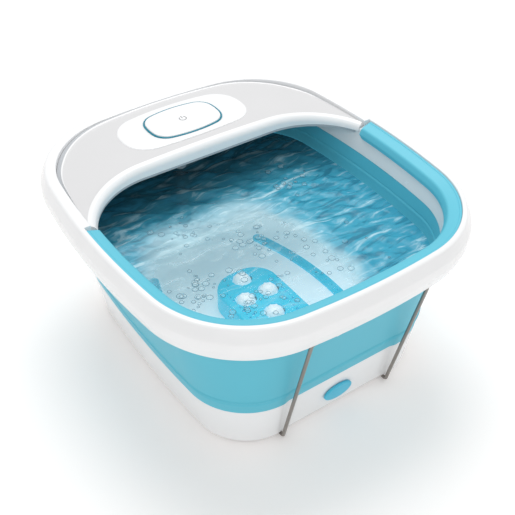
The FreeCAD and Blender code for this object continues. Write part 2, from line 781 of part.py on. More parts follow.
def massage_roller(x, y):
    """A ball-shaped roller with rows of small studs and a bore for its axle."""
    centre = Vector(x, y, ROLLER_Z)
    ball = Part.makeSphere(ROLLER_R, centre)
    studs = []
    for row, tilt in ((0, 0.0), (1, 26.0), (-1, -26.0)):
        for k in range(8):
            turn = math.radians(45 * k + (22.5 if row else 0))
            lean = math.radians(tilt)
            direction = Vector(
                math.sin(lean),
                math.cos(lean) * math.cos(turn),
                math.cos(lean) * math.sin(turn),
            )
            studs.append(Part.makeSphere(1.9, centre + direction * (ROLLER_R - 1.2)))
    ball = stack(ball, *studs)
    w = ROLLER_HALF_W
    ball = ball.common(block(x - w, x + w, y - 20, y + 20, ROLLER_Z - 20, ROLLER_Z + 20))
    return ball.cut(cylinder(x - 20, y, ROLLER_Z, AXLE_R + 0.06, 40, Vector(1, 0, 0)))


def make_floor_parts():
    keep("roller_panel", roller_panel())
    keep("roller_axles", roller_axles())
    for number, (x, y) in enumerate(ROLLER_PLACES, 1):
        keep(f"massage_roller_{number}", massage_roller(x, y))
    for side, name in ((-1, "left"), (1, "right")):
        keep(f"bubble_strip_{name}", bubble_strip(side))
        keep(f"air_channel_{name}", air_channel(side))
    keep("air_hoses", air_hoses())
    keep("air_tee", air_tee())
    keep("cable_duct", cable_duct())
    keep("wiring_loom", wiring_loom())


# ---------------------------------------------------------------- heater and vibration motor
def heater_plate():
    outline = bowed_outline(52.0, 38.0, 400.0, 400.0, 12.0)
    sheet = plate(outline, 0, 23.9, 25.4)
    sheet.translate(Vector(0, -24, 0))
    return sheet


def thermostat():
    can = cylinder(0, -24, 16.5, 8.0, 7.3)
    tabs = [block(x - 1.5, x + 1.5, -24.4, -23.6, 10.5, 16.6) for x in (-4, 4)]
    return stack(can, *tabs)


MOTOR_Y = 66.0
MOTOR_Z = 14.2


def vibration_motor():
    axis = Vector(1, 0, 0)
    can = cylinder(-17, MOTOR_Y, MOTOR_Z, 9.5, 30, axis)
    boss = cylinder(12.9, MOTOR_Y, MOTOR_Z, 3.5, 2.1, axis)
    shaft = cylinder(14.9, MOTOR_Y, MOTOR_Z, 1.5, 14, axis)
    return stack(can, boss, shaft)


def motor_bracket():
    strap = cylinder(-10, MOTOR_Y, MOTOR_Z, 11.0, 14, Vector(1, 0, 0))
    strap = strap.fuse(block(-10, 4, MOTOR_Y - 19, MOTOR_Y + 19, 4.5, 6.5))
    strap = strap.cut(block(-20, 20, MOTOR_Y - 30, MOTOR_Y + 30, -10, 4.45))
    return strap.cut(cylinder(-11, MOTOR_Y, MOTOR_Z, 9.5, 16, Vector(1, 0, 0)))


def eccentric_weight():
    half = cylinder(18, MOTOR_Y, MOTOR_Z, 8.6, 8, Vector(1, 0, 0))
    half = half.common(block(10, 40, MOTOR_Y - 20, MOTOR_Y + 20, MOTOR_Z - 20, MOTOR_Z))
    hub = cylinder(18, MOTOR_Y, MOTOR_Z, 3.2, 8, Vector(1, 0, 0))
    return half.fuse(hub).cut(cylinder(10, MOTOR_Y, MOTOR_Z, 1.56, 30, Vector(1, 0, 0)))


def make_electrics():
    keep("heater_plate", heater_plate())
    keep("thermostat", thermostat())
    keep("vibration_motor", vibration_motor())
    keep("motor_bracket", motor_bracket())
    keep("eccentric_weight", eccentric_weight())


# ---------------------------------------------------------------- drain
DRAIN_AXIS = Vector(0, -1, 0)
PLUG_OUTLINE = bowed_outline(17.5, 11.2, 13.0, 30.0, 6.0)
PLUG_Z = 28.5
DRAFT = math.degrees(math.atan2(BOTTOM_INSET, SEAM_Z))


def drain_fitting():
    """The short tube from the floor to the drain side, flush with the base's face."""
    face = front_face_y(DRAIN_Z) + RECESS_DEPTH
    tube = cylinder(0, -136, DRAIN_Z, 5.95, -136 - face + 3, DRAIN_AXIS)
    tube = tube.cut(cylinder(0, -130, DRAIN_Z, DRAIN_BORE_R, 60, DRAIN_AXIS))
    return tube.cut(recess_tool(0.1))


def drain_plug():
    face = front_face_y(PLUG_Z) + RECESS_DEPTH
    cap = plate(PLUG_OUTLINE, 0, 0.35, 3.6)
    rim = [e for e in cap.Edges if e.BoundBox.ZMin > 3.59]
    cap = cap.makeFillet(1.4, rim)
    cap.rotate(ORIGIN, Vector(1, 0, 0), 90 + DRAFT)
    cap.translate(Vector(0, face, PLUG_Z))
    stem = cylinder(0, face + 0.6, DRAIN_Z, DRAIN_BORE_R - 0.08, 14, Vector(0, 1, 0))
    groove = cylinder(0, face + 6.0, DRAIN_Z, 10, 1.8, Vector(0, 1, 0))
    groove = groove.cut(cylinder(0, face, DRAIN_Z, 3.1, 20, Vector(0, 1, 0)))
    neck = cylinder(0, face - 1.6, DRAIN_Z, 3.6, 3.0, Vector(0, 1, 0))
    return stack(cap, neck, stem.cut(groove))


def drain_seal():
    face = front_face_y(PLUG_Z) + RECESS_DEPTH
    ring = Part.makeTorus(3.65, 0.5, Vector(0, face + 6.9, DRAIN_Z), Vector(0, 1, 0))
    return ring


def make_drain():
    keep("drain_fitting", drain_fitting())
    keep("drain_plug", drain_plug())
    keep("drain_seal", drain_seal())


# ---------------------------------------------------------------- build
def main():
    frame = rim_frame()
    make_base()
    make_wall()
    make_rim(frame)
    make_wires(frame)
    make_hood(frame)
    make_floor_parts()
    make_electrics()
    make_drain()
    os.makedirs("parts", exist_ok=True)
    for name, shape in PARTS.items():
        solids = len(shape.Solids)
        volume = shape.Volume / 1000
        print(f"{name:22s} solids {solids:2d}  volume {volume:8.2f} cm3  valid {shape.isValid()}")
        shape.exportStep(f"parts/{name}.step")


main()
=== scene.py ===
"""The looks of a collapsible pedicure foot bath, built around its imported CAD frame.

The shells, the folding silicone wall, the hood and the water are modelled here in millimetres, in the
part's frame, and scaled to metres as they are made. The other pieces keep their CAD meshes.
"""

import math
import random

import bpy
import numpy as np
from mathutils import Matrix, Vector


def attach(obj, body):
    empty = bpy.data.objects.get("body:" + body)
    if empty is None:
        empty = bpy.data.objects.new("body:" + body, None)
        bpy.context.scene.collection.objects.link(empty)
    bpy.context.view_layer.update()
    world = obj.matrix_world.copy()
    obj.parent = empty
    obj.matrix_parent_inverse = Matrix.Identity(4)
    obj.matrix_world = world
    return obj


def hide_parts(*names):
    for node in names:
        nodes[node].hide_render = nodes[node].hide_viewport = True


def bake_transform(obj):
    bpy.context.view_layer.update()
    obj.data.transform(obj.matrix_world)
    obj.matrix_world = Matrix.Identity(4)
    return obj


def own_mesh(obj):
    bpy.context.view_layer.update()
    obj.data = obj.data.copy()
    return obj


MM = 0.001
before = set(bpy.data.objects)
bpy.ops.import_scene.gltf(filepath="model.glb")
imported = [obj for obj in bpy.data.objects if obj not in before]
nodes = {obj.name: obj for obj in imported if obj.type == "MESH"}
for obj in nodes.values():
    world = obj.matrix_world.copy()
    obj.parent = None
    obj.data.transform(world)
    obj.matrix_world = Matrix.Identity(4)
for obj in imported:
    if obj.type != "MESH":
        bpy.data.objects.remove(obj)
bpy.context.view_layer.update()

# ---- dimensions, in millimetres
# each outline: half width, half depth, then the radii of its sides, ends and corners
RIM_SIZES = (173.5, 194.5, 840.0, 790.0, 104.0)
BASE_SIZES = (140.5, 164.3, 1340.0, 1260.0, 68.0)
BUTTON_SIZES = (43.0, 28.0, 60.0, 130.0, 19.0)
PLATEAU_SIZES = (76.0, 36.7, 60.0, 420.0, 30.0)
RIM_HALF_D = RIM_SIZES[1]
BASE_HALF_D = BASE_SIZES[1]
SHELL_T = 2.6

# the rim, its flat border by the hood, and the soft lip
SEAT_Z = 195.4
BORDER_Y = 19.0
BORDER_INSET = 6.6
BORDER_LOW_Z = 193.2
LIP_END_Y = 16.5
LIP_END_LENGTH = 7.0
LIP_MIDDLE_Z = 191.0
LIP_LOW_DEPTH = 8.0

# the folding wall and its fold lines
SEAM_Z = 57.0
WALL_TOP_Z = 165.0
WALL_TOP_OUT = -13.4
WALL_T = 3.5
FOLD_HEIGHTS = (73.0, 150.0)
RIDGE_HEIGHT = 1.1
RIDGE_WIDTH = 1.0
GROOVE_DEPTH = 0.75
GROOVE_WIDTH = 1.5
GROOVE_BELOW = 2.6

# the base, its floor and the flat recess in its front
BOTTOM_INSET = 9.0
FLOOR_Z = 28.0
FLOOR_T = 2.5
COVE_OFFSET = -24.0
RECESS_HALF_W = 67.0
RECESS_SOFT = 7.0
RECESS_DEPTH = 3.5
RECESS_LOW_Z = 34.0
DRAIN_Z = 32.3
DRAIN_R = 6.0
DRAIN_BACK_Y = -172.0
DRAIN_LENGTH = 40.0
PLUG_Z = 28.5
PLUG_HALF_W = 17.0
PLUG_HALF_H = 11.2

# the hood
HOOD_TOP_Z = 202.5
HOOD_CROWN_R = 2100.0
HOOD_EDGE = -7.0
HOOD_FRONT_Y = 75.5
HOOD_FRONT_HALF = 80.0
HOOD_FRONT_R = 85.5
HOOD_TIP_Y = 20.5
HOOD_FILLET = 8.0
HOOD_FOOT_Z = 193.4
HOOD_T = 2.9
EDGE_LOW_Z = 190.0
FRONT_DROP = 7.0
HOOD_ROWS = 241
TOP_SHARE = 0.86
BORDER_SHARE = 0.13
# its columns: under the front edge, round the edge, then over the top to the border
UNDER_COLUMNS = ((2.6, 188.6), (0.4, 188.0), (-0.25, 188.5))
FILLET_STEPS = 12
TOP_STEPS = 12
HOOD_EDGE_COLUMNS = len(UNDER_COLUMNS) + FILLET_STEPS + 1
HOOD_TOP_COLUMN = HOOD_EDGE_COLUMNS + TOP_STEPS
# steps near the hood's outer edge: distance in from the edge, height above the arch
HOOD_BORDER = (
    (9.4, 0.0), (8.0, 0.4), (7.0, 0.7), (6.2, 0.55), (5.6, -0.2),
    (5.2, -1.1), (1.4, -1.7), (0.5, -2.0), (0.0, -2.4),
)
# the steps painted white along the ridge as a painted highlight, and grey in the channel as painted shade
RIDGE_HIGHLIGHT_STEPS = (1, 2, 3)
CHANNEL_SHADE_STEPS = (5, 6)

# the button, its sign and its spring
BUTTON_Y = 130.5
BUTTON_FOOT_Z = 200.6
BUTTON_SHOULDER_Z = 203.6
BUTTON_EDGE_R = 1.3
BUTTON_TOP_Z = 205.0
BUTTON_HOLE_GAP = 2.9
BUTTON_HOLE_Z = (EDGE_LOW_Z, 212.0)
MARK_Z = 205.03
MARK_STEPS = 40
SPRING_R = 7.5
SPRING_WIRE_R = 0.45
SPRING_LOW = 190.6
SPRING_HEIGHT = 9.3
SPRING_TURNS = 5
SPRING_STEPS = 160

# the support wires: (y, z) of the pivot and of the foot, and the pockets for the feet.
# The bars are drawn slightly under their true radius of 2.0.
WIRE_R = 1.9
WIRE_HALF_W = 67.5
WIRE_PIVOT = (195.0, 163.5)
WIRE_FOOT = (157.6, 3.5)
WIRE_HOOK = 5.0
WIRE_BENDS = (0, 3.2, 4.0, 4.0, 3.2, 0)
NOTCH_HALF_W = 3.2
NOTCH_Y = (146.0, 170.0)
NOTCH_LOW_Z = -2.0
NOTCH_TOP_Z = 6.2

# the bellows, the leads inside it and the air hoses
DUCT_Y = 143.0
DUCT_R = 9.0
DUCT_LOW = 54.0
DUCT_LENGTH = 117.4
DUCT_FOLDS = 14
DUCT_WAIST_R = 6.8
DUCT_WAVE = 2.1
DUCT_T = 1.1
STEPS_PER_FOLD = 8
LOOM_LOW = 27.0
LOOM_LENGTH = 156.0
LOOM_R = 2.0
LEAD_R = 1.1
LOOM_LEADS = 5
LOOM_TWISTS = 2.5
LOOM_STEPS = 60
HOSE_Z = 16.0
HOSE_R = 3.0
HOSE_BEND = 14
HOSE_PLACES = ((9, 112), (34, 112), (62, 84), (82, 60))

# the water, and clusters of bubbles: centre x, centre y, spread, count
WATER_Z = 137.0
WATER_GAP = 0.6
WATER_STEPS = 130
WAVES = 34
WAVE_LENGTHS = (7, 34)
WAVE_HEIGHT = 0.0096
BUBBLE_X = (-122, 122)
BUBBLE_Y = (-135, 120)
BUBBLE_RADII = (0.9, 3.6)
BUBBLE_LIFT = 1.2
BUBBLE_RISE = 0.6
BUBBLE_RIM = 0.22
BUBBLE_CLUSTERS = (
    (-98, -58, 15, 34), (-62, -92, 16, 30), (0, -22, 17, 34),
    (86, 46, 13, 16), (-55, 28, 17, 20), (20, -80, 30, 22),
)

# how finely curves are drawn, and a radius that stands for an axis
BEND_STEPS = 8
BUBBLE_COLUMNS = 18
PLUG_COLUMNS = 96
AXIS_R = 0.01


# ---- outlines
class Outline:
    """Eight tangent arcs around a rectangle with bowed sides, sampled anticlockwise."""

    def __init__(self, half_w, half_d, side_r, end_r, corner_r, spacing=2.4, extra_y=()):
        side_x = half_w - side_r
        end_y = half_d - end_r
        span = math.hypot(side_x, end_y)
        to_corner = side_r - corner_r
        along = (to_corner**2 - (end_r - corner_r) ** 2 + span**2) / (2 * span)
        across = math.sqrt(to_corner**2 - along**2)
        cx = side_x + (-side_x * along - end_y * across) / span
        cy = (end_y * along - side_x * across) / span
        a = math.atan2(cy, cx - side_x)
        b = math.atan2(cy - end_y, cx)
        pi = math.pi
        self.arcs = [
            (side_x, 0, side_r, -a, a),
            (cx, cy, corner_r, a, b),
            (0, end_y, end_r, b, pi - b),
            (-cx, cy, corner_r, pi - b, pi - a),
            (-side_x, 0, side_r, pi - a, pi + a),
            (-cx, -cy, corner_r, pi + a, pi + b),
            (0, -end_y, end_r, pi + b, 2 * pi - b),
            (cx, -cy, corner_r, 2 * pi - b, 2 * pi - a),
        ]
        self.extra_y = extra_y
        self.sample([self.shares(i, spacing) for i in range(8)])

    def shares(self, index, spacing):
        """Where one arc is sampled, as shares of its length."""
        radius, start, end = self.arcs[index][2:]
        count = max(4, round(radius * (end - start) / spacing))
        found = list(np.arange(count) / count)
        if index in (0, 4):
            sign = 1 if index == 0 else -1
            for y in self.extra_y:
                angle = math.asin(sign * y / radius)
                middle = (start + end) / 2
                found.append((middle + angle - start) / (end - start))
        return sorted(found)

    def sample(self, shares):
        """Keeps one row for each sample: the arc's centre and radius, and the direction outward."""
        self.arc_shares = shares
        rows = []
        for (cx, cy, radius, start, end), where in zip(self.arcs, shares):
            for share in where:
                angle = start + (end - start) * share
                rows.append((cx, cy, radius, math.cos(angle), math.sin(angle)))
        self.rows = np.array(rows)

    def like(self, other):
        """Sampled at the same shares as another outline, so that the two can be joined."""
        self.sample(other.arc_shares)
        return self

    def at(self, offset=0.0):
        """Points of the outline moved outward by an offset."""
        cx, cy, radius, cos, sin = self.rows.T
        reach = radius + offset
        return np.stack([cx + reach * cos, cy + reach * sin], axis=-1)


RIM = Outline(*RIM_SIZES, extra_y=(LIP_END_Y - 0.4, BORDER_Y - 0.15, BORDER_Y + 0.15))
BASE = Outline(*BASE_SIZES).like(RIM)


def rounded(corners, steps=4, closed=True):
    """A polygon of (across, up, corner radius) with its corners rounded, as (across, up) pairs."""
    points = np.array([c[:2] for c in corners], float)
    count = len(points)
    out = []
    for i, (_, _, radius) in enumerate(corners):
        point = points[i]
        if radius == 0 or (not closed and i in (0, count - 1)):
            out.append(tuple(point))
            continue
        back = points[i - 1] - point
        ahead = points[(i + 1) % count] - point
        limit = 0.48 * min(np.linalg.norm(back), np.linalg.norm(ahead))
        back = back / np.linalg.norm(back)
        ahead = ahead / np.linalg.norm(ahead)
        half = math.acos(np.clip(back @ ahead, -1, 1)) / 2
        radius = min(radius, limit * math.tan(half))
        centre = point + (back + ahead) / np.linalg.norm(back + ahead) * radius / math.sin(half)
        first = point + back * radius / math.tan(half) - centre
        last = point + ahead * radius / math.tan(half) - centre
        turn = math.atan2(first[0] * last[1] - first[1] * last[0], first @ last)
        for k in range(steps + 1):
            angle = turn * k / steps
            c, s = math.cos(angle), math.sin(angle)
            out.append((
                centre[0] + first[0] * c - first[1] * s,
                centre[1] + first[0] * s + first[1] * c,
            ))
    return out


# ---- meshes
def new_object(name, verts, faces, material, body, sharp=35.0):
    """A smooth-shaded mesh in the row frame that rides on a body. verts are millimetres."""
    mesh = bpy.data.meshes.new(name)
    mesh.from_pydata((np.asarray(verts, float) * MM).tolist(), [], [list(map(int, f)) for f in faces])
    mesh.validate()
    mesh.shade_smooth()
    mesh.set_sharp_from_angle(angle=math.radians(sharp))
    mesh.materials.append(material)
    obj = bpy.data.objects.new(name, mesh)
    bpy.context.scene.collection.objects.link(obj)
    if body:
        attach(obj, body)
    return obj


def grid_faces(rows, columns, wrap_rows=False, wrap_columns=False, start=0):
    """Faces between the points of a grid, whose rows and columns may each close into a loop."""
    faces = []
    for i in range(rows if wrap_rows else rows - 1):
        for j in range(columns if wrap_columns else columns - 1):
            k = (i + 1) % rows
            m = (j + 1) % columns
            here = start + i * columns
            there = start + k * columns
            faces.append((here + j, there + j, there + m, here + m))
    return faces


def row_caps(rows, columns):
    """Faces that close the first and the last row of a grid."""
    last = (rows - 1) * columns
    return [list(range(columns))[::-1], list(range(last, last + columns))]


def column_caps(rows, columns):
    """Faces that close the first and the last column of a grid."""
    firsts = [i * columns for i in range(rows)]
    return [firsts[::-1], [first + columns - 1 for first in firsts]]


def ring_mesh(name, points, material, body, sharp=35.0, closed=True):
    """A mesh of rings: its columns are the rings. The last ring meets the first, or both are capped."""
    rows, columns = points.shape[:2]
    faces = grid_faces(rows, columns, True, closed)
    if not closed:
        faces += column_caps(rows, columns)
    return new_object(name, points.reshape(-1, 3), faces, material, body, sharp)


def swept(name, outline, profile, material, body, shape=None, sharp=35.0):
    """A closed profile of (outward offset, height) swept round an outline."""
    points = np.zeros((len(outline.rows), len(profile), 3))
    for j, (offset, z) in enumerate(profile):
        points[:, j, :2] = outline.at(offset)
        points[:, j, 2] = z
    if shape is not None:
        points = shape(points)
    return ring_mesh(name, points, material, body, sharp)


def tube(name, corners, bends, radius, material, body, steps=20):
    """A round bar or hose through corners, which bend with the given radii, with flat ends."""
    path = []
    for i, point in enumerate(corners):
        if bends[i] == 0:
            path.append(point)
            continue
        back = (corners[i - 1] - point).normalized()
        ahead = (corners[i + 1] - point).normalized()
        half = back.angle(ahead) / 2
        centre = point + (back + ahead).normalized() * bends[i] / math.sin(half)
        first = point + back * bends[i] / math.tan(half) - centre
        last = point + ahead * bends[i] / math.tan(half) - centre
        # slerp gives unit vectors, so each is scaled to the bend's radius
        for k in range(BEND_STEPS + 1):
            path.append(centre + first.slerp(last, k / BEND_STEPS) * bends[i])
    verts = []
    across = None
    for i, point in enumerate(path):
        direction = (path[min(i + 1, len(path) - 1)] - path[max(i - 1, 0)]).normalized()
        across = direction.orthogonal() if across is None else across - direction * across.dot(direction)
        across.normalize()
        up = direction.cross(across)
        for k in range(steps):
            a = 2 * math.pi * k / steps
            verts.append(point + (across * math.cos(a) + up * math.sin(a)) * radius)
    faces = grid_faces(len(path), steps, False, True) + row_caps(len(path), steps)
    return new_object(name, verts, faces, material, body, sharp=50)


def lathe(name, profile, centre, axis, material, body, steps=32, sharp=35.0):
    """A profile of (radius, height) turned about an axis ("Y" or "Z") through centre."""
    verts = []
    for k in range(steps):
        a = 2 * math.pi * k / steps
        for radius, h in profile:
            u, v = radius * math.cos(a), radius * math.sin(a)
            verts.append((v, h, u) if axis == "Y" else (u, v, h))
    verts = np.array(verts) + np.array(centre)
    faces = grid_faces(steps, len(profile), True, True)
    return new_object(name, verts, faces, material, body, sharp)


def join(objects, name):
    """Several meshes of one body as one piece."""
    with bpy.context.temp_override(active_object=objects[0], selected_editable_objects=objects):
        bpy.ops.object.join()
    objects[0].name = name
    objects[0].data.name = name
    return objects[0]


def box_tool(x_low, x_high, y_low, y_high, z_low, z_high):
    """A box to cut with."""
    verts = [(x, y, z) for x in (x_low, x_high) for y in (y_low, y_high) for z in (z_low, z_high)]
    faces = [(0, 1, 3, 2), (4, 6, 7, 5), (0, 4, 5, 1), (2, 3, 7, 6), (0, 2, 6, 4), (1, 5, 7, 3)]
    return new_object("tool", verts, faces, WHITE, None)


def carve(obj, tools, sharp=35.0):
    """Cuts the tools out of a mesh and removes them."""
    for tool in tools:
        cut = obj.modifiers.new("cut", "BOOLEAN")
        cut.operation = "DIFFERENCE"
        cut.solver = "EXACT"
        cut.object = tool
    bpy.context.view_layer.update()
    graph = bpy.context.evaluated_depsgraph_get()
    mesh = bpy.data.meshes.new_from_object(obj.evaluated_get(graph))
    obj.modifiers.clear()
    mesh.name = obj.data.name
    obj.data = mesh
    mesh.shade_smooth()
    mesh.set_sharp_from_angle(angle=math.radians(sharp))
    for tool in tools:
        bpy.data.objects.remove(tool)
    return obj


def drain_tool():
    """The drain's bore through the front of the base."""
    profile = [(AXIS_R, 0), (DRAIN_R, 0), (DRAIN_R, DRAIN_LENGTH), (AXIS_R, DRAIN_LENGTH)]
    return lathe("tool", profile, (0, DRAIN_BACK_Y, DRAIN_Z), "Y", WHITE, None)


# ---- the flat recess in the front face
def side_offset(z):
    """How far the side of the base stands out from its outline at height z."""
    return -BOTTOM_INSET * (SEAM_Z - z) / SEAM_Z


def front_face_y(z):
    """The front face of the tub before the recess, at height z and x = 0."""
    low = -(BASE_HALF_D + side_offset(z))
    spread = RIM_HALF_D + WALL_TOP_OUT - BASE_HALF_D
    high = -(BASE_HALF_D + spread * (z - SEAM_Z) / (WALL_TOP_Z - SEAM_Z))
    return np.where(z <= SEAM_Z, low, high)


def smooth_step(value):
    """value from 0 to 1, eased at both ends."""
    t = np.clip(value, 0, 1)
    return t * t * (3 - 2 * t)


def press_recess(layer):
    """A shape step that flattens the front face between the wires, layer millimetres further in."""

    def shape(points):
        x, y, z = points[..., 0], points[..., 1], points[..., 2]
        depth = RECESS_DEPTH * np.clip((WALL_TOP_Z - z) / (WALL_TOP_Z - SEAM_Z), 0, 1)
        plane = front_face_y(z) + depth + layer
        share = smooth_step((RECESS_HALF_W + RECESS_SOFT / 2 - np.abs(x)) / RECESS_SOFT)
        inward = np.maximum(plane - y, 0) * share * (y < 0)
        points[..., 1] = y + inward
        return points

    return shape


# ---- materials
CLOUD_SCALE = 22.0
CLOUD_DETAIL = 5.0
GLOSS_SPREAD = 0.12
GRAIN_DETAIL = 3.0
GRAIN_DEPTH = 0.0003


def put(node, **values):
    """Sets inputs of a node. A _ in a name stands for a space."""
    for name, value in values.items():
        node.inputs[name.replace("_", " ")].default_value = value


def material(name, color, roughness, metallic=0.0, grain=0.0, grain_scale=900.0, mottle=0.02, **sockets):
    """A plain finish with a little variation in tone and gloss and a fine surface grain."""
    mat = bpy.data.materials.new(name)
    mat.use_nodes = True
    tree = mat.node_tree
    link = tree.links.new
    shader = tree.nodes["Principled BSDF"]
    put(shader, Metallic=metallic, **sockets)
    place = tree.nodes.new("ShaderNodeTexCoord")
    clouds = tree.nodes.new("ShaderNodeTexNoise")
    put(clouds, Scale=CLOUD_SCALE, Detail=CLOUD_DETAIL)
    link(place.outputs["Object"], clouds.inputs["Vector"])
    tone = tree.nodes.new("ShaderNodeMix")
    tone.data_type = "RGBA"
    darker = [c * (1 - mottle) for c in color]
    lighter = [min(1, c * (1 + mottle)) for c in color]
    put(tone, A=(*darker, 1), B=(*lighter, 1))
    link(clouds.outputs["Fac"], tone.inputs["Factor"])
    link(tone.outputs["Result"], shader.inputs["Base Color"])
    gloss = tree.nodes.new("ShaderNodeMapRange")
    put(gloss, To_Min=max(0.02, roughness * (1 - GLOSS_SPREAD)))
    put(gloss, To_Max=min(1, roughness * (1 + GLOSS_SPREAD)))
    link(clouds.outputs["Fac"], gloss.inputs["Value"])
    link(gloss.outputs["Result"], shader.inputs["Roughness"])
    if grain:
        fine = tree.nodes.new("ShaderNodeTexNoise")
        put(fine, Scale=grain_scale, Detail=GRAIN_DETAIL)
        link(place.outputs["Object"], fine.inputs["Vector"])
        bump = tree.nodes.new("ShaderNodeBump")
        put(bump, Strength=grain, Distance=GRAIN_DEPTH)
        link(fine.outputs["Fac"], bump.inputs["Height"])
        link(bump.outputs["Normal"], shader.inputs["Normal"])
    return mat


def linear(red, green, blue):
    """A screen colour of 0 to 255 as linear light."""
    out = []
    for value in (red, green, blue):
        v = value / 255
        out.append(v / 12.92 if v <= 0.04045 else ((v + 0.055) / 1.055) ** 2.4)
    return out


WHITE = material("white_plastic", linear(240, 241, 242), 0.26, grain=0.04, Coat_Weight=0.15)
HOOD_WHITE = material("hood_plastic", linear(215, 215, 216), 0.26, grain=0.04, Coat_Weight=0.15)
# the floor pan glows a little with a cyan tint: painted light, so that it shows bright through the water
GLOWING_PAN_WHITE = material(
    "pan_white_painted_glow", linear(238, 245, 247), 0.3, grain=0.05,
    Emission_Color=(0.7, 0.95, 1.0, 1), Emission_Strength=0.26,
)
# a grey for the hood's channel: painted shade in the channel
CHANNEL_SHADE_GREY = material("channel_painted_shade", linear(186, 190, 194), 0.34, grain=0.05)
GREY = material("grey_plastic", linear(176, 180, 184), 0.5, grain=0.15)
DARK_GREY = material("dark_plastic", linear(86, 90, 94), 0.5, grain=0.15)
BLACK = material("black_plastic", linear(24, 24, 26), 0.45, grain=0.1)
BLACK_RUBBER = material("black_rubber", linear(30, 30, 32), 0.7, grain=0.3)
SILICONE = material("blue_silicone", linear(89, 189, 210), 0.44, grain=0.12, mottle=0.015)
LIP = material("lip_silicone", linear(94, 194, 216), 0.4, grain=0.1, mottle=0.015)
PLUG_BLUE = material("plug_silicone", linear(74, 190, 220), 0.42, grain=0.12)
# the roller panel and the bubble strips glow a little: painted light that keeps their cyan bright under the
# water
GLOWING_AQUA = material(
    "aqua_plastic_painted_glow", linear(0, 190, 218), 0.25, grain=0.05,
    Emission_Color=(0.0, 0.42, 0.56, 1), Emission_Strength=0.34,
)
# the massage rollers glow a little: painted light that keeps them bright under the water
GLOWING_ROLLER_WHITE = material(
    "roller_plastic_painted_glow", linear(240, 246, 247), 0.28, grain=0.05,
    Emission_Color=(0.85, 0.97, 1.0, 1), Emission_Strength=0.18,
)
TEAL = material("teal_ring", linear(16, 128, 150), 0.2)
STEEL = material("steel_wire", linear(150, 145, 140), 0.3, metallic=1.0, grain=0.2, grain_scale=1600.0)
ZINC = material("zinc", linear(176, 176, 172), 0.36, metallic=1.0, grain=0.15)
ALUMINIUM = material("aluminium", linear(198, 198, 200), 0.34, metallic=1.0, grain=0.15)
BOARD = material("board_green", linear(20, 92, 50), 0.4, grain=0.1)
HOSE = material("hose", linear(208, 214, 214), 0.35, grain=0.05)
BELLOWS = material("bellows_rubber", linear(178, 192, 198), 0.5, grain=0.15)


# ---- rim, lip and wall
def rim():
    """The white rim: a hollow section with a seat for the lip, raised to a flat border by the hood."""
    outer = rounded([
        (5.5, 166.0, 0.5), (7.6, 166.0, 0.6), (10.8, 177.0, 12), (10.8, 187.5, 10), (5.0, 200.2, 7),
        (0.0, 200.2, 1.0), (0.0, SEAT_Z, 0.2), (-6.4, 192.9, 0), (-12.0, 190.8, 1.5), (-17.0, 165.2, 0.5),
        (-14.6, 165.2, 0.5), (-10.0, 188.6, 1.0), (-2.2, 192.0, 2.0), (3.0, 196.4, 4.0),
        (8.6, 186.3, 7.0), (8.6, 177.3, 10),
    ], steps=6)
    profile = np.array(outer)
    # the points of the seat's edge, from its foot up to the crest
    at_edge = (np.abs(profile[:, 0]) < 1.3) & (profile[:, 1] > SEAT_Z - 0.5)

    def shape(points):
        """By the hood the seat's edge moves in, which leaves a flat border as high as the crest."""
        hood = points[:, 0, 1] > BORDER_Y
        for j in np.nonzero(at_edge)[0]:
            points[hood, j, :2] = RIM.at(profile[j, 0] - BORDER_INSET)[hood]
            if profile[j, 1] < SEAT_Z + 0.6:
                points[hood, j, 2] = BORDER_LOW_Z
        return points

    return swept("rim", RIM, outer, WHITE, "rim", shape, sharp=28)


def lip():
    """The soft lip: a thick blue trim with a fine groove near its outer edge and rounded ends."""
    profile = rounded([
        (-0.25, 198.4, 0.5), (-2.3, 197.95, 0.2), (-2.75, 197.35, 0.2), (-3.2, 197.6, 0.2),
        (-13.3, 194.2, 4.2), (-16.0, 187.5, 3.5), (-16.0, 183.6, 1.2), (-13.9, 182.6, 0.3),
        (-12.3, 190.95, 0), (-0.25, 195.6, 0),
    ], steps=5)
    profile = np.array(profile)
    keep = RIM.at(0)[:, 1] < LIP_END_Y
    order = np.nonzero(keep)[0]
    split = np.nonzero(np.diff(order) > 1)[0]
    order = np.concatenate([order[split[0] + 1:], order[: split[0] + 1]]) if len(split) else order
    rows = RIM.rows[order]
    cx, cy, radius, cos, sin = rows.T
    points = np.zeros((len(rows), len(profile), 3))
    y_along = cy + radius * sin
    to_end = np.clip((LIP_END_Y - y_along) / LIP_END_LENGTH, 0, 1)
    for j, (offset, z) in enumerate(profile):
        reach = radius + offset
        points[:, j, 0] = cx + reach * cos
        points[:, j, 1] = cy + reach * sin
        points[:, j, 2] = z
    # the two ends are rounded off below and on the basin side
    shrink = np.sqrt(np.clip(1 - (1 - to_end) ** 2.2, 0.0, 1))
    for j, (offset, z) in enumerate(profile):
        low = np.clip((LIP_MIDDLE_Z - z) / LIP_LOW_DEPTH, 0, 1)
        points[:, j, 2] = z + low * (LIP_MIDDLE_Z - z) * (1 - shrink)
    faces = grid_faces(len(rows), len(profile), False, True) + row_caps(len(rows), len(profile))
    return new_object("lip", points.reshape(-1, 3), faces, LIP, "rim", sharp=30)


def wall_point(z, inset):
    """Points of the wall at height z, moved in from its outer face."""
    t = (z - SEAM_Z) / (WALL_TOP_Z - SEAM_Z)
    low = BASE.at(-inset)
    high = RIM.at(WALL_TOP_OUT - inset)
    return (1 - t) * low + t * high


def fold_relief(z):
    """How far the outer face stands out at the two fold lines: a thin ridge over a shallow groove."""
    relief = 0.0
    for fold in FOLD_HEIGHTS:
        relief += RIDGE_HEIGHT * math.exp(-(((z - fold) / RIDGE_WIDTH) ** 2))
        relief -= GROOVE_DEPTH * math.exp(-(((z - fold + GROOVE_BELOW) / GROOVE_WIDTH) ** 2))
    return relief


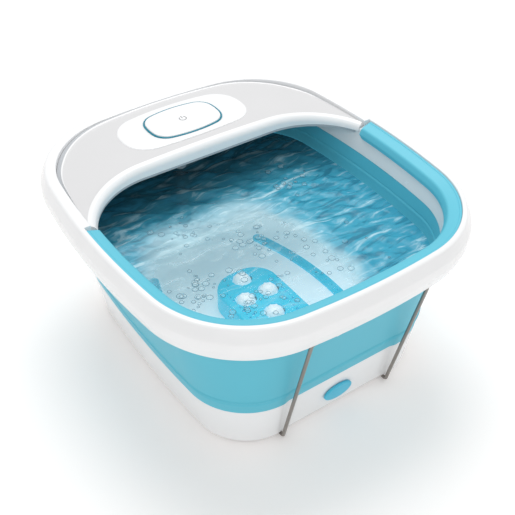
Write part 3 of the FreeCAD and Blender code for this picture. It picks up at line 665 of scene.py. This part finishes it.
def silicone_wall():
    """The folding wall, with a bead at each end and two fold lines."""
    near_folds = [fold + step for fold in FOLD_HEIGHTS for step in np.linspace(-6, 4, 21)]
    outer_z = sorted(set([SEAM_Z, SEAM_Z + 0.6] + list(np.linspace(SEAM_Z + 2, WALL_TOP_Z, 36)) + near_folds))
    top = [(-11.9, 165.3), (-10.4, 173.4), (-10.9, 174.1), (-12.4, 174.1), (-12.9, 173.4), (-14.4, 165.3)]
    low = [(-5.6, 58.0), (-6.0, 56.0), (-6.9, 47.4), (-6.5, 46.4), (-4.9, 46.4), (-4.5, 47.4), (-2.8, 56.4)]
    columns = [(wall_point(z, -fold_relief(z)), z, -fold_relief(z)) for z in outer_z]
    columns += [(RIM.at(offset), z, None) for offset, z in top]
    for z in reversed(outer_z[1:]):
        inset = WALL_T - 0.4 * fold_relief(z)
        columns.append((wall_point(z, inset), z, inset))
    columns += [(BASE.at(offset), z, -offset) for offset, z in low]
    points = np.zeros((len(RIM.rows), len(columns), 3))
    for j, (xy, z, layer) in enumerate(columns):
        points[:, j, :2] = xy
        points[:, j, 2] = z
        if layer is not None:
            points[:, j] = press_recess(layer)(points[:, j])
    wall = ring_mesh("silicone_wall_skin", points, SILICONE, None, sharp=40)
    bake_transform(wall)
    return wall


# ---- base
def base_shell():
    """The white base: a tapered shell with a rounded foot and a flat recess at the front."""
    inner_low = side_offset(6.6) - SHELL_T
    profile = rounded([
        (0.0, SEAM_Z, 0.7), (side_offset(5.2), 5.2, 4.0), (side_offset(1.6) - 3.0, 1.6, 1.2),
        (-13.4, 2.4, 0.3), (-17.6, 4.7, 0.3), (-17.6, 6.5, 0.3), (inner_low, 6.6, 0.5), (-2.5, SEAM_Z, 0.4),
    ], steps=5)
    layers = np.array([max(0.0, side_offset(z) - offset) for offset, z in profile])
    shell = swept("base_shell_skin", BASE, profile, WHITE, "base", press_recess(layers), sharp=38)
    tools = [drain_tool()]
    # the four pockets that take the feet of the wires
    for side in (-1, 1):
        y_low, y_high = sorted(side * y for y in NOTCH_Y)
        for x in (-WIRE_HALF_W, WIRE_HALF_W):
            across = (x - NOTCH_HALF_W, x + NOTCH_HALF_W)
            tools.append(box_tool(*across, y_low, y_high, NOTCH_LOW_Z, NOTCH_TOP_Z))
    return carve(shell, tools, sharp=38)


def floor_pan():
    """The white floor pan: a flat floor with a coved edge and a wall up to the seam."""
    low = FLOOR_Z - FLOOR_T
    section = rounded([
        (-200, FLOOR_Z, 0), (COVE_OFFSET, FLOOR_Z, 8.0), (-14.0, 33.0, 6.0), (-8.8, 56.4, 0.8),
        (-6.3, 56.4, 0.8), (-6.2 + side_offset(low), low, 3.0), (-200, low, 0),
    ], steps=6, closed=False)
    rings = []

    def add(flat, z):
        rings.append(np.column_stack([flat, np.full(len(flat), z)]))

    # the flat floor is drawn as shrunken copies of the cove's edge, in place of the section's two ends
    shrink = [0.02, 0.2, 0.4, 0.6, 0.8, 0.93]
    for share in shrink:
        add(BASE.at(COVE_OFFSET) * share, FLOOR_Z)
    for offset, z in section[1:-1]:
        add(BASE.at(offset), z)
        if z > RECESS_LOW_Z:
            layer = -offset - BOTTOM_INSET * max(0.0, (SEAM_Z - z) / SEAM_Z)
            rings[-1] = press_recess(layer)(rings[-1])
    for share in reversed(shrink):
        add(BASE.at(COVE_OFFSET) * share, low)
    pan = ring_mesh("pan", np.stack(rings, axis=1), GLOWING_PAN_WHITE, None, closed=False)
    carve(pan, [drain_tool()])
    # the socket round the foot of the bellows, which rises to just below the seam
    bore, outer, top = DUCT_R + 0.2, DUCT_R + 2.5, SEAM_Z - 3.0
    profile = [(bore, low), (outer, low), (outer, top - 1.0), (DUCT_R + 1.6, top), (bore, top)]
    socket = lathe("socket", profile, (0, DUCT_Y, 0), "Z", GLOWING_PAN_WHITE, None, steps=48)
    obj = join([pan, socket], "floor_pan_skin")
    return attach(obj, "base")


# ---- hood
def crown_z(x, drop=0.0):
    """Height of the hood's arched top."""
    radius = HOOD_CROWN_R - drop
    return HOOD_TOP_Z - HOOD_CROWN_R + np.sqrt(radius**2 - x * x)


def front_curve(count):
    """The hood's front edge from its left tip to its right tip, with the direction towards the basin."""
    centre_y = HOOD_FRONT_Y - HOOD_FRONT_R
    tip = math.asin((HOOD_TIP_Y - centre_y) / HOOD_FRONT_R)
    arc = HOOD_FRONT_R * (math.pi / 2 - tip)
    total = 2 * (arc + HOOD_FRONT_HALF)
    points, normals = [], []
    for k in range(count):
        s = total * k / (count - 1) - total / 2
        sign = 1 if s >= 0 else -1
        s = abs(s)
        if s <= HOOD_FRONT_HALF:
            points.append((sign * s, HOOD_FRONT_Y))
            normals.append((0.0, -1.0))
        else:
            angle = math.pi / 2 - (s - HOOD_FRONT_HALF) / HOOD_FRONT_R
            points.append((
                sign * (HOOD_FRONT_HALF + HOOD_FRONT_R * math.cos(angle)),
                centre_y + HOOD_FRONT_R * math.sin(angle),
            ))
            normals.append((-sign * math.cos(angle), -math.sin(angle)))
    return np.array(points), np.array(normals)


def back_curve(offset, count):
    """The hood's outer edge from the left tip round the back to the right tip, evenly spaced."""
    ring = RIM.at(offset)
    ring = ring[ring[:, 1] >= HOOD_TIP_Y]
    split = np.argmax(np.linalg.norm(np.diff(ring, axis=0), axis=1))
    if np.linalg.norm(ring[split + 1] - ring[split]) > 50:
        ring = np.concatenate([ring[split + 1:], ring[: split + 1]])
    if ring[0, 0] > 0:
        ring = ring[::-1]
    tip_x = abs(ring[0, 0])
    ring = np.concatenate([[(-tip_x, HOOD_TIP_Y)], ring, [(tip_x, HOOD_TIP_Y)]])
    gaps = np.linalg.norm(np.diff(ring, axis=0), axis=1)
    length = np.concatenate([[0], np.cumsum(gaps)])
    keep = np.concatenate([[True], gaps > 1e-6])
    even = np.linspace(0, length[-1], count)
    return np.stack([np.interp(even, length[keep], ring[keep, k]) for k in (0, 1)], axis=-1)


def hood_cover():
    """The white hood: an arched top with a channel and a ridge near its outer edge, and a rounded front."""
    front, normal = front_curve(HOOD_ROWS)
    back = back_curve(HOOD_EDGE, HOOD_ROWS)
    edge = front - normal * (HOOD_FILLET + 1.0)
    span = np.linalg.norm(back - edge, axis=1)[:, None]
    columns = []

    def add(flat, z):
        columns.append(np.column_stack([flat, np.broadcast_to(z, HOOD_ROWS)]))

    for inset, z in UNDER_COLUMNS:
        add(front - normal * inset, z)
    top = crown_z(front[:, 0])
    for k in range(FILLET_STEPS + 1):
        a = math.pi / 2 * k / FILLET_STEPS
        z = np.maximum(top - HOOD_FILLET * (1 - math.sin(a)), EDGE_LOW_Z)
        add(front - normal * HOOD_FILLET * (1 - math.cos(a)), z)
    for share in np.linspace(0, TOP_SHARE, TOP_STEPS):
        flat = edge * (1 - share) + back * share
        add(flat, crown_z(flat[:, 0]))
    for inward, rise in HOOD_BORDER:
        reach = np.minimum(inward / span, BORDER_SHARE * inward / HOOD_BORDER[0][0])
        flat = back + (edge - back) * reach
        add(flat, crown_z(flat[:, 0]) + rise)
    inner = back_curve(HOOD_EDGE - SHELL_T, HOOD_ROWS)
    add(back, HOOD_FOOT_Z)
    add(inner, HOOD_FOOT_Z)
    for share in (1.0, 0.7, 0.4, 0.0):
        flat = edge * (1 - share) + inner * share
        add(flat, crown_z(flat[:, 0], HOOD_T))
    add(front - normal * SHELL_T, crown_z(front[:, 0], FRONT_DROP))
    points = np.stack(columns, axis=1)
    width = points.shape[1]
    faces = grid_faces(HOOD_ROWS, width, False, True) + row_caps(HOOD_ROWS, width)
    hood = new_object("hood", points.reshape(-1, 3), faces, HOOD_WHITE, "rim", sharp=32)
    # the hood's faces are painted by how light falls: grey in the channel as painted shade, white on the
    # ridge and the front edge as a painted highlight against the greyer hood plastic
    hood.data.materials.append(CHANNEL_SHADE_GREY)
    hood.data.materials.append(WHITE)
    for face in hood.data.polygons[: (HOOD_ROWS - 1) * width]:
        column = face.index % width
        step = column - HOOD_TOP_COLUMN
        # painted shade in the channel
        if step in CHANNEL_SHADE_STEPS:
            face.material_index = 1
        # painted highlight on the rounded front edge and on the ridge
        elif column < HOOD_EDGE_COLUMNS or step in RIDGE_HIGHLIGHT_STEPS:
            face.material_index = 2
    hole = np.stack([centred(BUTTON_SIZES, BUTTON_HOLE_GAP, z) for z in BUTTON_HOLE_Z], axis=1)
    return carve(hood, [ring_mesh("tool", hole, WHITE, None, closed=False)], sharp=32)


def centred(sizes, offset, z):
    """A ring of the given bowed outline around the button's centre."""
    ring = Outline(*sizes, spacing=1.6).at(offset)
    return np.column_stack([ring[:, 0], ring[:, 1] + BUTTON_Y, np.full(len(ring), z)])


def button():
    """The push button: upright sides, a rounded edge and a slightly crowned top."""
    section = [(-2.0, BUTTON_FOOT_Z), (-1.05, BUTTON_FOOT_Z + 0.2), (-1.0, BUTTON_SHOULDER_Z)]
    for k in range(6):
        a = math.pi / 2 * k / 5
        offset = -1.0 - BUTTON_EDGE_R * (1 - math.cos(a))
        section.append((offset, BUTTON_SHOULDER_Z + BUTTON_EDGE_R * math.sin(a)))
    section += [(-4.0, BUTTON_TOP_Z - 0.05), (-8.0, BUTTON_TOP_Z - 0.02), (-14.0, BUTTON_TOP_Z)]
    points = np.stack([centred(BUTTON_SIZES, offset, z) for offset, z in section], axis=1)
    return ring_mesh("button_cap", points, WHITE, "power_button", closed=False)


def power_mark():
    """A generic power sign on the button: a broken ring and a bar."""
    ring = []
    for k in range(MARK_STEPS + 1):
        a = math.radians(125 + 290 * k / MARK_STEPS)
        for radius in (3.5, 4.3):
            ring.append((radius * math.cos(a), BUTTON_Y + radius * math.sin(a), MARK_Z))
    bar = [(x, BUTTON_Y + y, MARK_Z) for y in (0.6, 5.2) for x in (-0.42, 0.42)]
    faces = grid_faces(MARK_STEPS + 1, 2) + grid_faces(2, 2, start=len(ring))
    new_object("power_mark", ring + bar, faces, DARK_GREY, "power_button")


def bezel():
    """The raised plateau round the button, which follows the hood's arch."""
    flat = Outline(*PLATEAU_SIZES, spacing=2.0).at(0)
    angles = np.arctan2(flat[:, 1], flat[:, 0])
    inner_ring = Outline(*BUTTON_SIZES, spacing=2.0).at(0.9)
    inner_angle = np.arctan2(inner_ring[:, 1], inner_ring[:, 0])
    order = np.argsort(inner_angle)
    radius = np.interp(
        angles, inner_angle[order], np.linalg.norm(inner_ring[order], axis=1), period=2 * math.pi
    )
    inner = np.column_stack([radius * np.cos(angles), radius * np.sin(angles)])
    rings = []
    # each ring: its share of the way from the hole to the edge, and its height above the arch
    steps = (
        (1.0, -0.3), (1.0, 0.1), (0.985, 0.6), (0.96, 0.9), (0.9, 1.0), (0.5, 1.0), (0.12, 1.0),
        (0.04, 0.95), (0.0, 0.7), (0.0, -6.0), (0.05, -6.0), (0.05, -1.0),
    )
    for share, rise in steps:
        xy = inner + (flat - inner) * share
        rings.append(np.column_stack([xy[:, 0], xy[:, 1] + BUTTON_Y, crown_z(xy[:, 0]) + rise]))
    return ring_mesh("bezel", np.stack(rings, axis=1), WHITE, "rim", sharp=40)


def ring_light():
    """The dark teal ring between the button and its plateau."""
    section = ((0.95, 199.2), (0.95, 203.7), (0.5, 204.15), (-0.45, 204.15), (-0.9, 203.7), (-0.9, 199.2))
    points = np.stack([centred(BUTTON_SIZES, offset, z) for offset, z in section], axis=1)
    return ring_mesh("ring_light", points, TEAL, "rim", sharp=50)


# ---- wires
def wire(side):
    """A steel bail with rounded bends, at the front for side -1 and at the rear for side 1."""
    tip = Vector((WIRE_HALF_W, side * (WIRE_FOOT[0] - WIRE_HOOK), WIRE_FOOT[1]))
    foot = Vector((WIRE_HALF_W, side * WIRE_FOOT[0], WIRE_FOOT[1]))
    pivot = Vector((WIRE_HALF_W, side * WIRE_PIVOT[0], WIRE_PIVOT[1]))
    corners = [tip, foot, pivot]
    corners += [Vector((-p.x, p.y, p.z)) for p in reversed(corners)]
    name = "front" if side < 0 else "rear"
    return tube(f"{name}_wire_skin", corners, WIRE_BENDS, WIRE_R, STEEL, f"{name}_wire")


def cable_duct():
    """The rubber bellows that carries the leads and air from the hood to the base."""
    steps = DUCT_FOLDS * STEPS_PER_FOLD
    outer = []
    for k in range(steps + 1):
        wave = 0.5 - 0.5 * math.cos(2 * math.pi * DUCT_FOLDS * k / steps)
        outer.append((DUCT_WAIST_R + DUCT_WAVE * wave, DUCT_LOW + DUCT_LENGTH * k / steps))
    inner = [(radius - DUCT_T, z) for radius, z in reversed(outer)]
    obj = lathe("bellows", outer + inner, (0, DUCT_Y, 0), "Z", BELLOWS, "base")
    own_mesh(obj)
    return obj


def wiring_loom():
    """Five twisted leads inside the bellows."""
    leads = []
    for lead in range(LOOM_LEADS):
        path = []
        for k in range(LOOM_STEPS + 1):
            a = 2 * math.pi * (lead / LOOM_LEADS + LOOM_TWISTS * k / LOOM_STEPS)
            z = LOOM_LOW + LOOM_LENGTH * k / LOOM_STEPS
            path.append(Vector((LOOM_R * math.cos(a), DUCT_Y + LOOM_R * math.sin(a), z)))
        leads.append(tube("lead", path, [0] * len(path), LEAD_R, BLACK, None, steps=10))
    obj = join(leads, "leads")
    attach(obj, "base")
    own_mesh(obj)
    return obj


def button_spring():
    """The coil spring under the button."""
    path = []
    for k in range(SPRING_STEPS + 1):
        a = 2 * math.pi * SPRING_TURNS * k / SPRING_STEPS
        z = SPRING_LOW + SPRING_HEIGHT * k / SPRING_STEPS
        path.append(Vector((SPRING_R * math.cos(a), BUTTON_Y + SPRING_R * math.sin(a), z)))
    obj = tube("coil_spring", path, [0] * len(path), SPRING_WIRE_R, STEEL, "rim", steps=10)
    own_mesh(obj)
    return obj


def air_hoses():
    """The two soft air tubes from the tee to the gutters."""
    hoses = []
    for side in (-1, 1):
        corners = [Vector((side * x, y, HOSE_Z)) for x, y in HOSE_PLACES]
        hoses.append(tube("hose", corners, [0, HOSE_BEND, HOSE_BEND, 0], HOSE_R, HOSE, None))
    obj = join(hoses, "hoses")
    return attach(obj, "base")


def drain_plug():
    """The drain plug: a soft oval cap on a round stem with a groove round it."""
    rings = []
    # each ring of the cap: its share of the outline and how far it stands out from the base
    section = (
        (0.01, 0.4), (0.94, 0.4), (1.0, 0.9), (1.0, 2.6), (0.985, 3.2), (0.94, 3.6), (0.8, 3.75), (0.01, 3.8),
    )
    for share, out in section:
        ring = []
        for k in range(PLUG_COLUMNS):
            a = 2 * math.pi * k / PLUG_COLUMNS
            # a power under 1 draws the sides of the oval slightly fuller
            lift = math.copysign(abs(math.sin(a)) ** 0.92, math.sin(a))
            z = PLUG_Z + PLUG_HALF_H * share * lift
            y = float(front_face_y(z)) + RECESS_DEPTH - out
            ring.append((PLUG_HALF_W * share * math.cos(a), y, z))
        rings.append(ring)
    cap = ring_mesh("plug", np.stack(rings, axis=1), PLUG_BLUE, None, sharp=40, closed=False)
    start = float(front_face_y(DRAIN_Z)) + RECESS_DEPTH
    profile = [
        (AXIS_R, -1.0), (4.1, -1.0), (4.1, 5.8), (3.2, 6.0), (3.2, 7.8),
        (4.1, 8.0), (4.1, 13.8), (3.3, 14.6), (AXIS_R, 14.6),
    ]
    stem = lathe("stem", profile, (0, start, DRAIN_Z), "Y", PLUG_BLUE, None)
    obj = join([cap, stem], "drain_plug_skin")
    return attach(obj, "drain_plug")


# ---- water
def water_surface():
    """The water: a rippled sheet inside the wall."""
    ring = wall_point(WATER_Z, WALL_T + WATER_GAP)
    recess = RECESS_DEPTH * (WALL_TOP_Z - WATER_Z) / (WALL_TOP_Z - SEAM_Z)
    plane_y = front_face_y(np.array(WATER_Z)) + WALL_T + WATER_GAP + recess
    front = (np.abs(ring[:, 0]) < RECESS_HALF_W) & (ring[:, 1] < 0)
    ring[front, 1] = np.maximum(ring[front, 1], plane_y)
    shares = np.linspace(1, 0.004, WATER_STEPS)
    points = np.zeros((len(ring), WATER_STEPS, 3))
    points[..., :2] = ring[:, None, :] * shares[None, :, None]
    points[..., 2] = WATER_Z
    x, y = points[..., 0], points[..., 1]
    still_edge = smooth_step((1 - shares)[None, :] * 14)
    ripple = np.zeros_like(x)
    generator = random.Random(4)
    for _ in range(WAVES):
        length = generator.uniform(*WAVE_LENGTHS)
        angle = generator.gauss(0.25, 0.5)
        phase = generator.uniform(0, 6.28)
        k = 2 * math.pi / length
        along = x * math.sin(angle) + y * math.cos(angle)
        across = x * math.cos(angle) - y * math.sin(angle)
        bend = 0.9 * np.sin(across * k * 0.35 + phase * 2)
        ripple += WAVE_HEIGHT * length * np.sin(along * k + phase + bend)
    points[..., 2] += ripple * still_edge
    faces = grid_faces(len(ring), WATER_STEPS, True, False) + column_caps(len(ring), WATER_STEPS)[1:]
    obj = new_object("water", points.reshape(-1, 3), faces, water_material(), None, sharp=180)
    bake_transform(obj)
    obj.visible_shadow = False


def maths(tree, operation, *inputs, clamp=False):
    """One Math node; each input is a number or an output socket."""
    node = tree.nodes.new("ShaderNodeMath")
    node.operation = operation
    node.use_clamp = clamp
    for socket, value in zip(node.inputs, inputs):
        if isinstance(value, (int, float)):
            socket.default_value = value
        else:
            tree.links.new(value, socket)
    return node.outputs["Value"]


def span_to(tree, value, start, end, low=0.0, high=1.0):
    """value between start and end, eased to low and high."""
    node = tree.nodes.new("ShaderNodeMapRange")
    node.interpolation_type = "SMOOTHSTEP"
    put(node, From_Min=start, From_Max=end, To_Min=low, To_Max=high)
    tree.links.new(value, node.inputs["Value"])
    return node.outputs["Result"]


def mixed(tree, factor, first, second):
    """Two colours mixed; each is a colour or an output socket."""
    node = tree.nodes.new("ShaderNodeMix")
    node.data_type = "RGBA"
    tree.links.new(factor, node.inputs["Factor"])
    for name, value in (("A", first), ("B", second)):
        if isinstance(value, bpy.types.NodeSocket):
            tree.links.new(value, node.inputs[name])
        else:
            node.inputs[name].default_value = (*value, 1)
    return node.outputs["Result"]


def noise(tree, place, scale, stretch=(1, 1, 1), turn=0.0, detail=5.0, distortion=0.0):
    """A noise value over object coordinates, stretched and turned about Z."""
    mapping = tree.nodes.new("ShaderNodeMapping")
    put(mapping, Rotation=(0, 0, math.radians(turn)), Scale=stretch)
    tree.links.new(place, mapping.inputs["Vector"])
    node = tree.nodes.new("ShaderNodeTexNoise")
    put(node, Scale=scale, Detail=detail, Distortion=distortion)
    tree.links.new(mapping.outputs["Vector"], node.inputs["Vector"])
    return node.outputs["Fac"]


def water_material():
    """Clear and pale over the floor in front and teal beside it, darkened under the hood as painted shade of
    the hood, with pale streaks as painted reflections and darker streaks as painted shade on the ripples.
    """
    mat = bpy.data.materials.new("water")
    mat.use_nodes = True
    tree = mat.node_tree
    shader = tree.nodes["Principled BSDF"]
    put(shader, Roughness=0.07, IOR=1.33)
    place = tree.nodes.new("ShaderNodeTexCoord").outputs["Object"]
    split = tree.nodes.new("ShaderNodeSeparateXYZ")
    tree.links.new(place, split.inputs["Vector"])
    drift = maths(tree, "MULTIPLY_ADD", noise(tree, place, 16.0), 0.05, -0.025)
    y = maths(tree, "ADD", split.outputs["Y"], drift)
    x = maths(tree, "ADD", split.outputs["X"], drift)
    # the clear patch: a rounded square over the floor
    reach = []
    for value, centre, half in ((x, -0.04, 0.090), (y, -0.06, 0.108)):
        away = maths(tree, "ABSOLUTE", maths(tree, "SUBTRACT", value, centre))
        reach.append(maths(tree, "POWER", maths(tree, "DIVIDE", away, half), 3.0))
    patch = span_to(tree, maths(tree, "ADD", *reach), 0.45, 1.5, 1.0, 0.0)
    front = span_to(tree, y, -0.035, 0.06, 1.0, 0.0)
    # the share towards the back, under the hood, which carries the painted shade of the hood
    back = span_to(tree, y, 0.03, 0.115)
    streak = noise(tree, place, 1.0, (16.0, 70.0, 30.0), -18, 6.0, 1.7)
    # the pale streaks are painted reflections on the ripples, the dark streaks are painted shade in them
    glint_streak = span_to(tree, streak, 0.53, 0.70)
    shade_streak = span_to(tree, streak, 0.34, 0.50, 1.0, 0.0)
    # painted shade: the water darkens towards the back, under the hood
    color = mixed(tree, back, linear(72, 172, 200), linear(34, 84, 100))
    # painted shade in the ripples, in deep teal
    color = mixed(tree, maths(tree, "MULTIPLY", shade_streak, 0.7), color, linear(24, 96, 124))
    pale = maths(tree, "MULTIPLY", patch, maths(tree, "MULTIPLY_ADD", front, 0.5, 0.45))
    color = mixed(tree, pale, color, linear(220, 244, 250))
    # painted shade in the ripples, also over the pale patch
    color = mixed(tree, maths(tree, "MULTIPLY", shade_streak, 0.3), color, linear(70, 150, 176))
    # painted reflections on the ripples, fewer under the hood
    glint_share = maths(tree, "MULTIPLY", glint_streak, maths(tree, "MULTIPLY_ADD", back, -0.35, 0.62))
    color = mixed(tree, glint_share, color, linear(214, 240, 246))
    tree.links.new(color, shader.inputs["Base Color"])
    clear = maths(tree, "MULTIPLY", patch, maths(tree, "MULTIPLY_ADD", front, 0.5, 0.2))
    # the water is more opaque under the hood, where the painted shade is
    solid = maths(tree, "SUBTRACT", maths(tree, "MULTIPLY_ADD", back, 0.14, 0.82), clear)
    alpha = maths(tree, "MULTIPLY_ADD", glint_streak, 0.2, solid, clamp=True)
    tree.links.new(alpha, shader.inputs["Alpha"])
    wave = tree.nodes.new("ShaderNodeBump")
    put(wave, Strength=0.6, Distance=0.003)
    tree.links.new(streak, wave.inputs["Height"])
    tree.links.new(wave.outputs["Normal"], shader.inputs["Normal"])
    mat.surface_render_method = "BLENDED"
    return mat


def add_ring_surface(surface, x, y, profile, closed):
    """Adds a profile of (radius, height) turned about the upright line through x, y."""
    verts, faces = surface
    start = len(verts)
    for radius, z in profile:
        for k in range(BUBBLE_COLUMNS):
            a = 2 * math.pi * k / BUBBLE_COLUMNS
            verts.append((x + radius * math.cos(a), y + radius * math.sin(a), z))
    faces.extend(grid_faces(len(profile), BUBBLE_COLUMNS, closed, True, start))


def bubbles():
    """Air bubbles at the water's surface: clear domes, each with a thin rim."""
    generator = random.Random(11)
    dome_mat = material("bubble", linear(225, 246, 250), 0.05, mottle=0.0, Alpha=0.16)
    rim_mat = material("bubble_rim", linear(44, 118, 142), 0.1, mottle=0.0, Alpha=0.7)
    domes, rims = ([], []), ([], [])
    for cx, cy, spread, count in BUBBLE_CLUSTERS:
        for _ in range(count):
            x = float(np.clip(generator.gauss(cx, spread), *BUBBLE_X))
            y = float(np.clip(generator.gauss(cy, spread), *BUBBLE_Y))
            radius = generator.uniform(*BUBBLE_RADII)
            height = WATER_Z + BUBBLE_LIFT
            dome, rim_section = [], []
            for k in range(6):
                rise = math.pi / 2 * k / 6
                dome.append((radius * math.cos(rise), height + BUBBLE_RISE * radius * math.sin(rise)))
                turn = math.pi * k / 3
                out, up = BUBBLE_RIM * math.cos(turn), BUBBLE_RIM * math.sin(turn)
                rim_section.append((radius + out, height + up))
            add_ring_surface(domes, x, y, dome, False)
            add_ring_surface(rims, x, y, rim_section, True)
    for name, (verts, faces), mat in (("bubbles", domes, dome_mat), ("bubble_rims", rims, rim_mat)):
        obj = new_object(name, verts, faces, mat, None, sharp=180)
        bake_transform(obj)
        obj.visible_shadow = False


# ---- put together
def dress_cad():
    """Finishes for the pieces that keep their CAD mesh."""
    for mat, names in (
        (GREY, ("bottom_cover", "wall_clamp_ring", "cord_gland", "hood_tray", "air_channel_left",
                "air_channel_right", "air_tee", "motor_bracket", "drain_fitting")),
        (ZINC, ("base_screws", "clamp_screws", "hood_screws")),
        (BLACK_RUBBER, ("rubber_feet", "pump_mounts", "drain_seal")),
        (GLOWING_AQUA, ("roller_panel", "bubble_strip_left", "bubble_strip_right")),
        (STEEL, ("roller_axles", "thermostat", "vibration_motor", "eccentric_weight")),
        (GLOWING_ROLLER_WHITE, [f"massage_roller_{k}" for k in range(1, 5)]),
        (WHITE, ("wire_clips",)),
        (BLACK, ("button_switch",)),
        (BOARD, ("circuit_board",)),
        (DARK_GREY, ("air_pump",)),
        (ALUMINIUM, ("heater_plate",)),
    ):
        for name in names:
            mesh = nodes[name].data
            mesh.materials.clear()
            mesh.materials.append(mat)


def build():
    """Every piece and the CAD node that it stands for, which is hidden; the slot names listed beside them are
    not used.
    """
    dress_cad()
    for obj, slot, stood_for in (
        (rim(), "white_shell", "rim_frame"),
        (lip(), "blue_lip", "lip_trim"),
        (silicone_wall(), "blue_silicone", "silicone_wall"),
        (base_shell(), "white_shell", "base_shell"),
        (floor_pan(), "white_pan", "floor_pan"),
        (hood_cover(), "white_shell", "hood_cover"),
        (button(), "white_button", "power_button"),
        (bezel(), "white_shell", "button_bezel"),
        (ring_light(), "teal_ring", "light_ring"),
        (wire(-1), "steel_wire", "front_support_wire"),
        (wire(1), "steel_wire", "rear_support_wire"),
        (cable_duct(), "duct_rubber", "cable_duct"),
        (wiring_loom(), "loom_jacket", "wiring_loom"),
        (button_spring(), "spring_steel", "button_spring"),
        (air_hoses(), "clear_hose", "air_hoses"),
        (drain_plug(), "blue_plug", "drain_plug"),
    ):
        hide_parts(stood_for)
    power_mark()
    water_surface()
    bubbles()


# ---- camera, light and floor
CAMERA_PLACE = (-404.1, -601.3, 698.3)
CAMERA_TARGET = (17.6, 11.4, 79.4)
CAMERA_LENS = 60.8
SENSOR_WIDTH = 36.0
WORLD_LIGHT = 0.66
FLOOR_SIZE = 12
# the lamps, in metres: name, place, size, power
LAMPS = (
    ("key", (0.35, 0.75, 2.1), 1.3, 22.5),
    ("fill", (-1.1, -1.5, 1.1), 1.6, 6.0),
    ("side", (1.6, -0.3, 1.5), 1.6, 4.0),
)
LAMP_TARGET = (0, 0, 0.08)


def face_target(obj, target):
    """Turns a lamp or a camera towards a point."""
    obj.rotation_euler = (Vector(target) - obj.location).to_track_quat("-Z", "Y").to_euler()


def studio():
    """A pale floor, soft light from above and both sides, and the camera."""
    floor_mat = bpy.data.materials.new("floor")
    floor_mat.use_nodes = True
    shader = floor_mat.node_tree.nodes["Principled BSDF"]
    put(shader, Base_Color=(0.97, 0.955, 0.945, 1), Roughness=0.85, Specular_IOR_Level=0.15)
    put(shader, Emission_Color=(1, 0.94, 0.92, 1), Emission_Strength=0.1)
    bpy.ops.mesh.primitive_plane_add(size=FLOOR_SIZE, location=(0, 0, 0))
    floor = bpy.context.object
    floor.name = "studio_floor"
    floor.data.materials.append(floor_mat)

    world = bpy.data.worlds.new("studio")
    bpy.context.scene.world = world
    world.use_nodes = True
    put(world.node_tree.nodes["Background"], Color=(1, 1, 1, 1), Strength=WORLD_LIGHT)

    for name, place, size, energy in LAMPS:
        data = bpy.data.lights.new(name, "AREA")
        data.size = size
        data.energy = energy
        lamp = bpy.data.objects.new(name, data)
        bpy.context.scene.collection.objects.link(lamp)
        lamp.location = place
        face_target(lamp, LAMP_TARGET)

    data = bpy.data.cameras.new("camera")
    data.sensor_width = SENSOR_WIDTH
    data.lens = CAMERA_LENS
    camera = bpy.data.objects.new("camera", data)
    bpy.context.scene.collection.objects.link(camera)
    camera.location = Vector(CAMERA_PLACE) * MM
    face_target(camera, Vector(CAMERA_TARGET) * MM)
    bpy.context.scene.camera = camera
    bpy.context.scene.view_settings.view_transform = "Standard"


build()
studio()
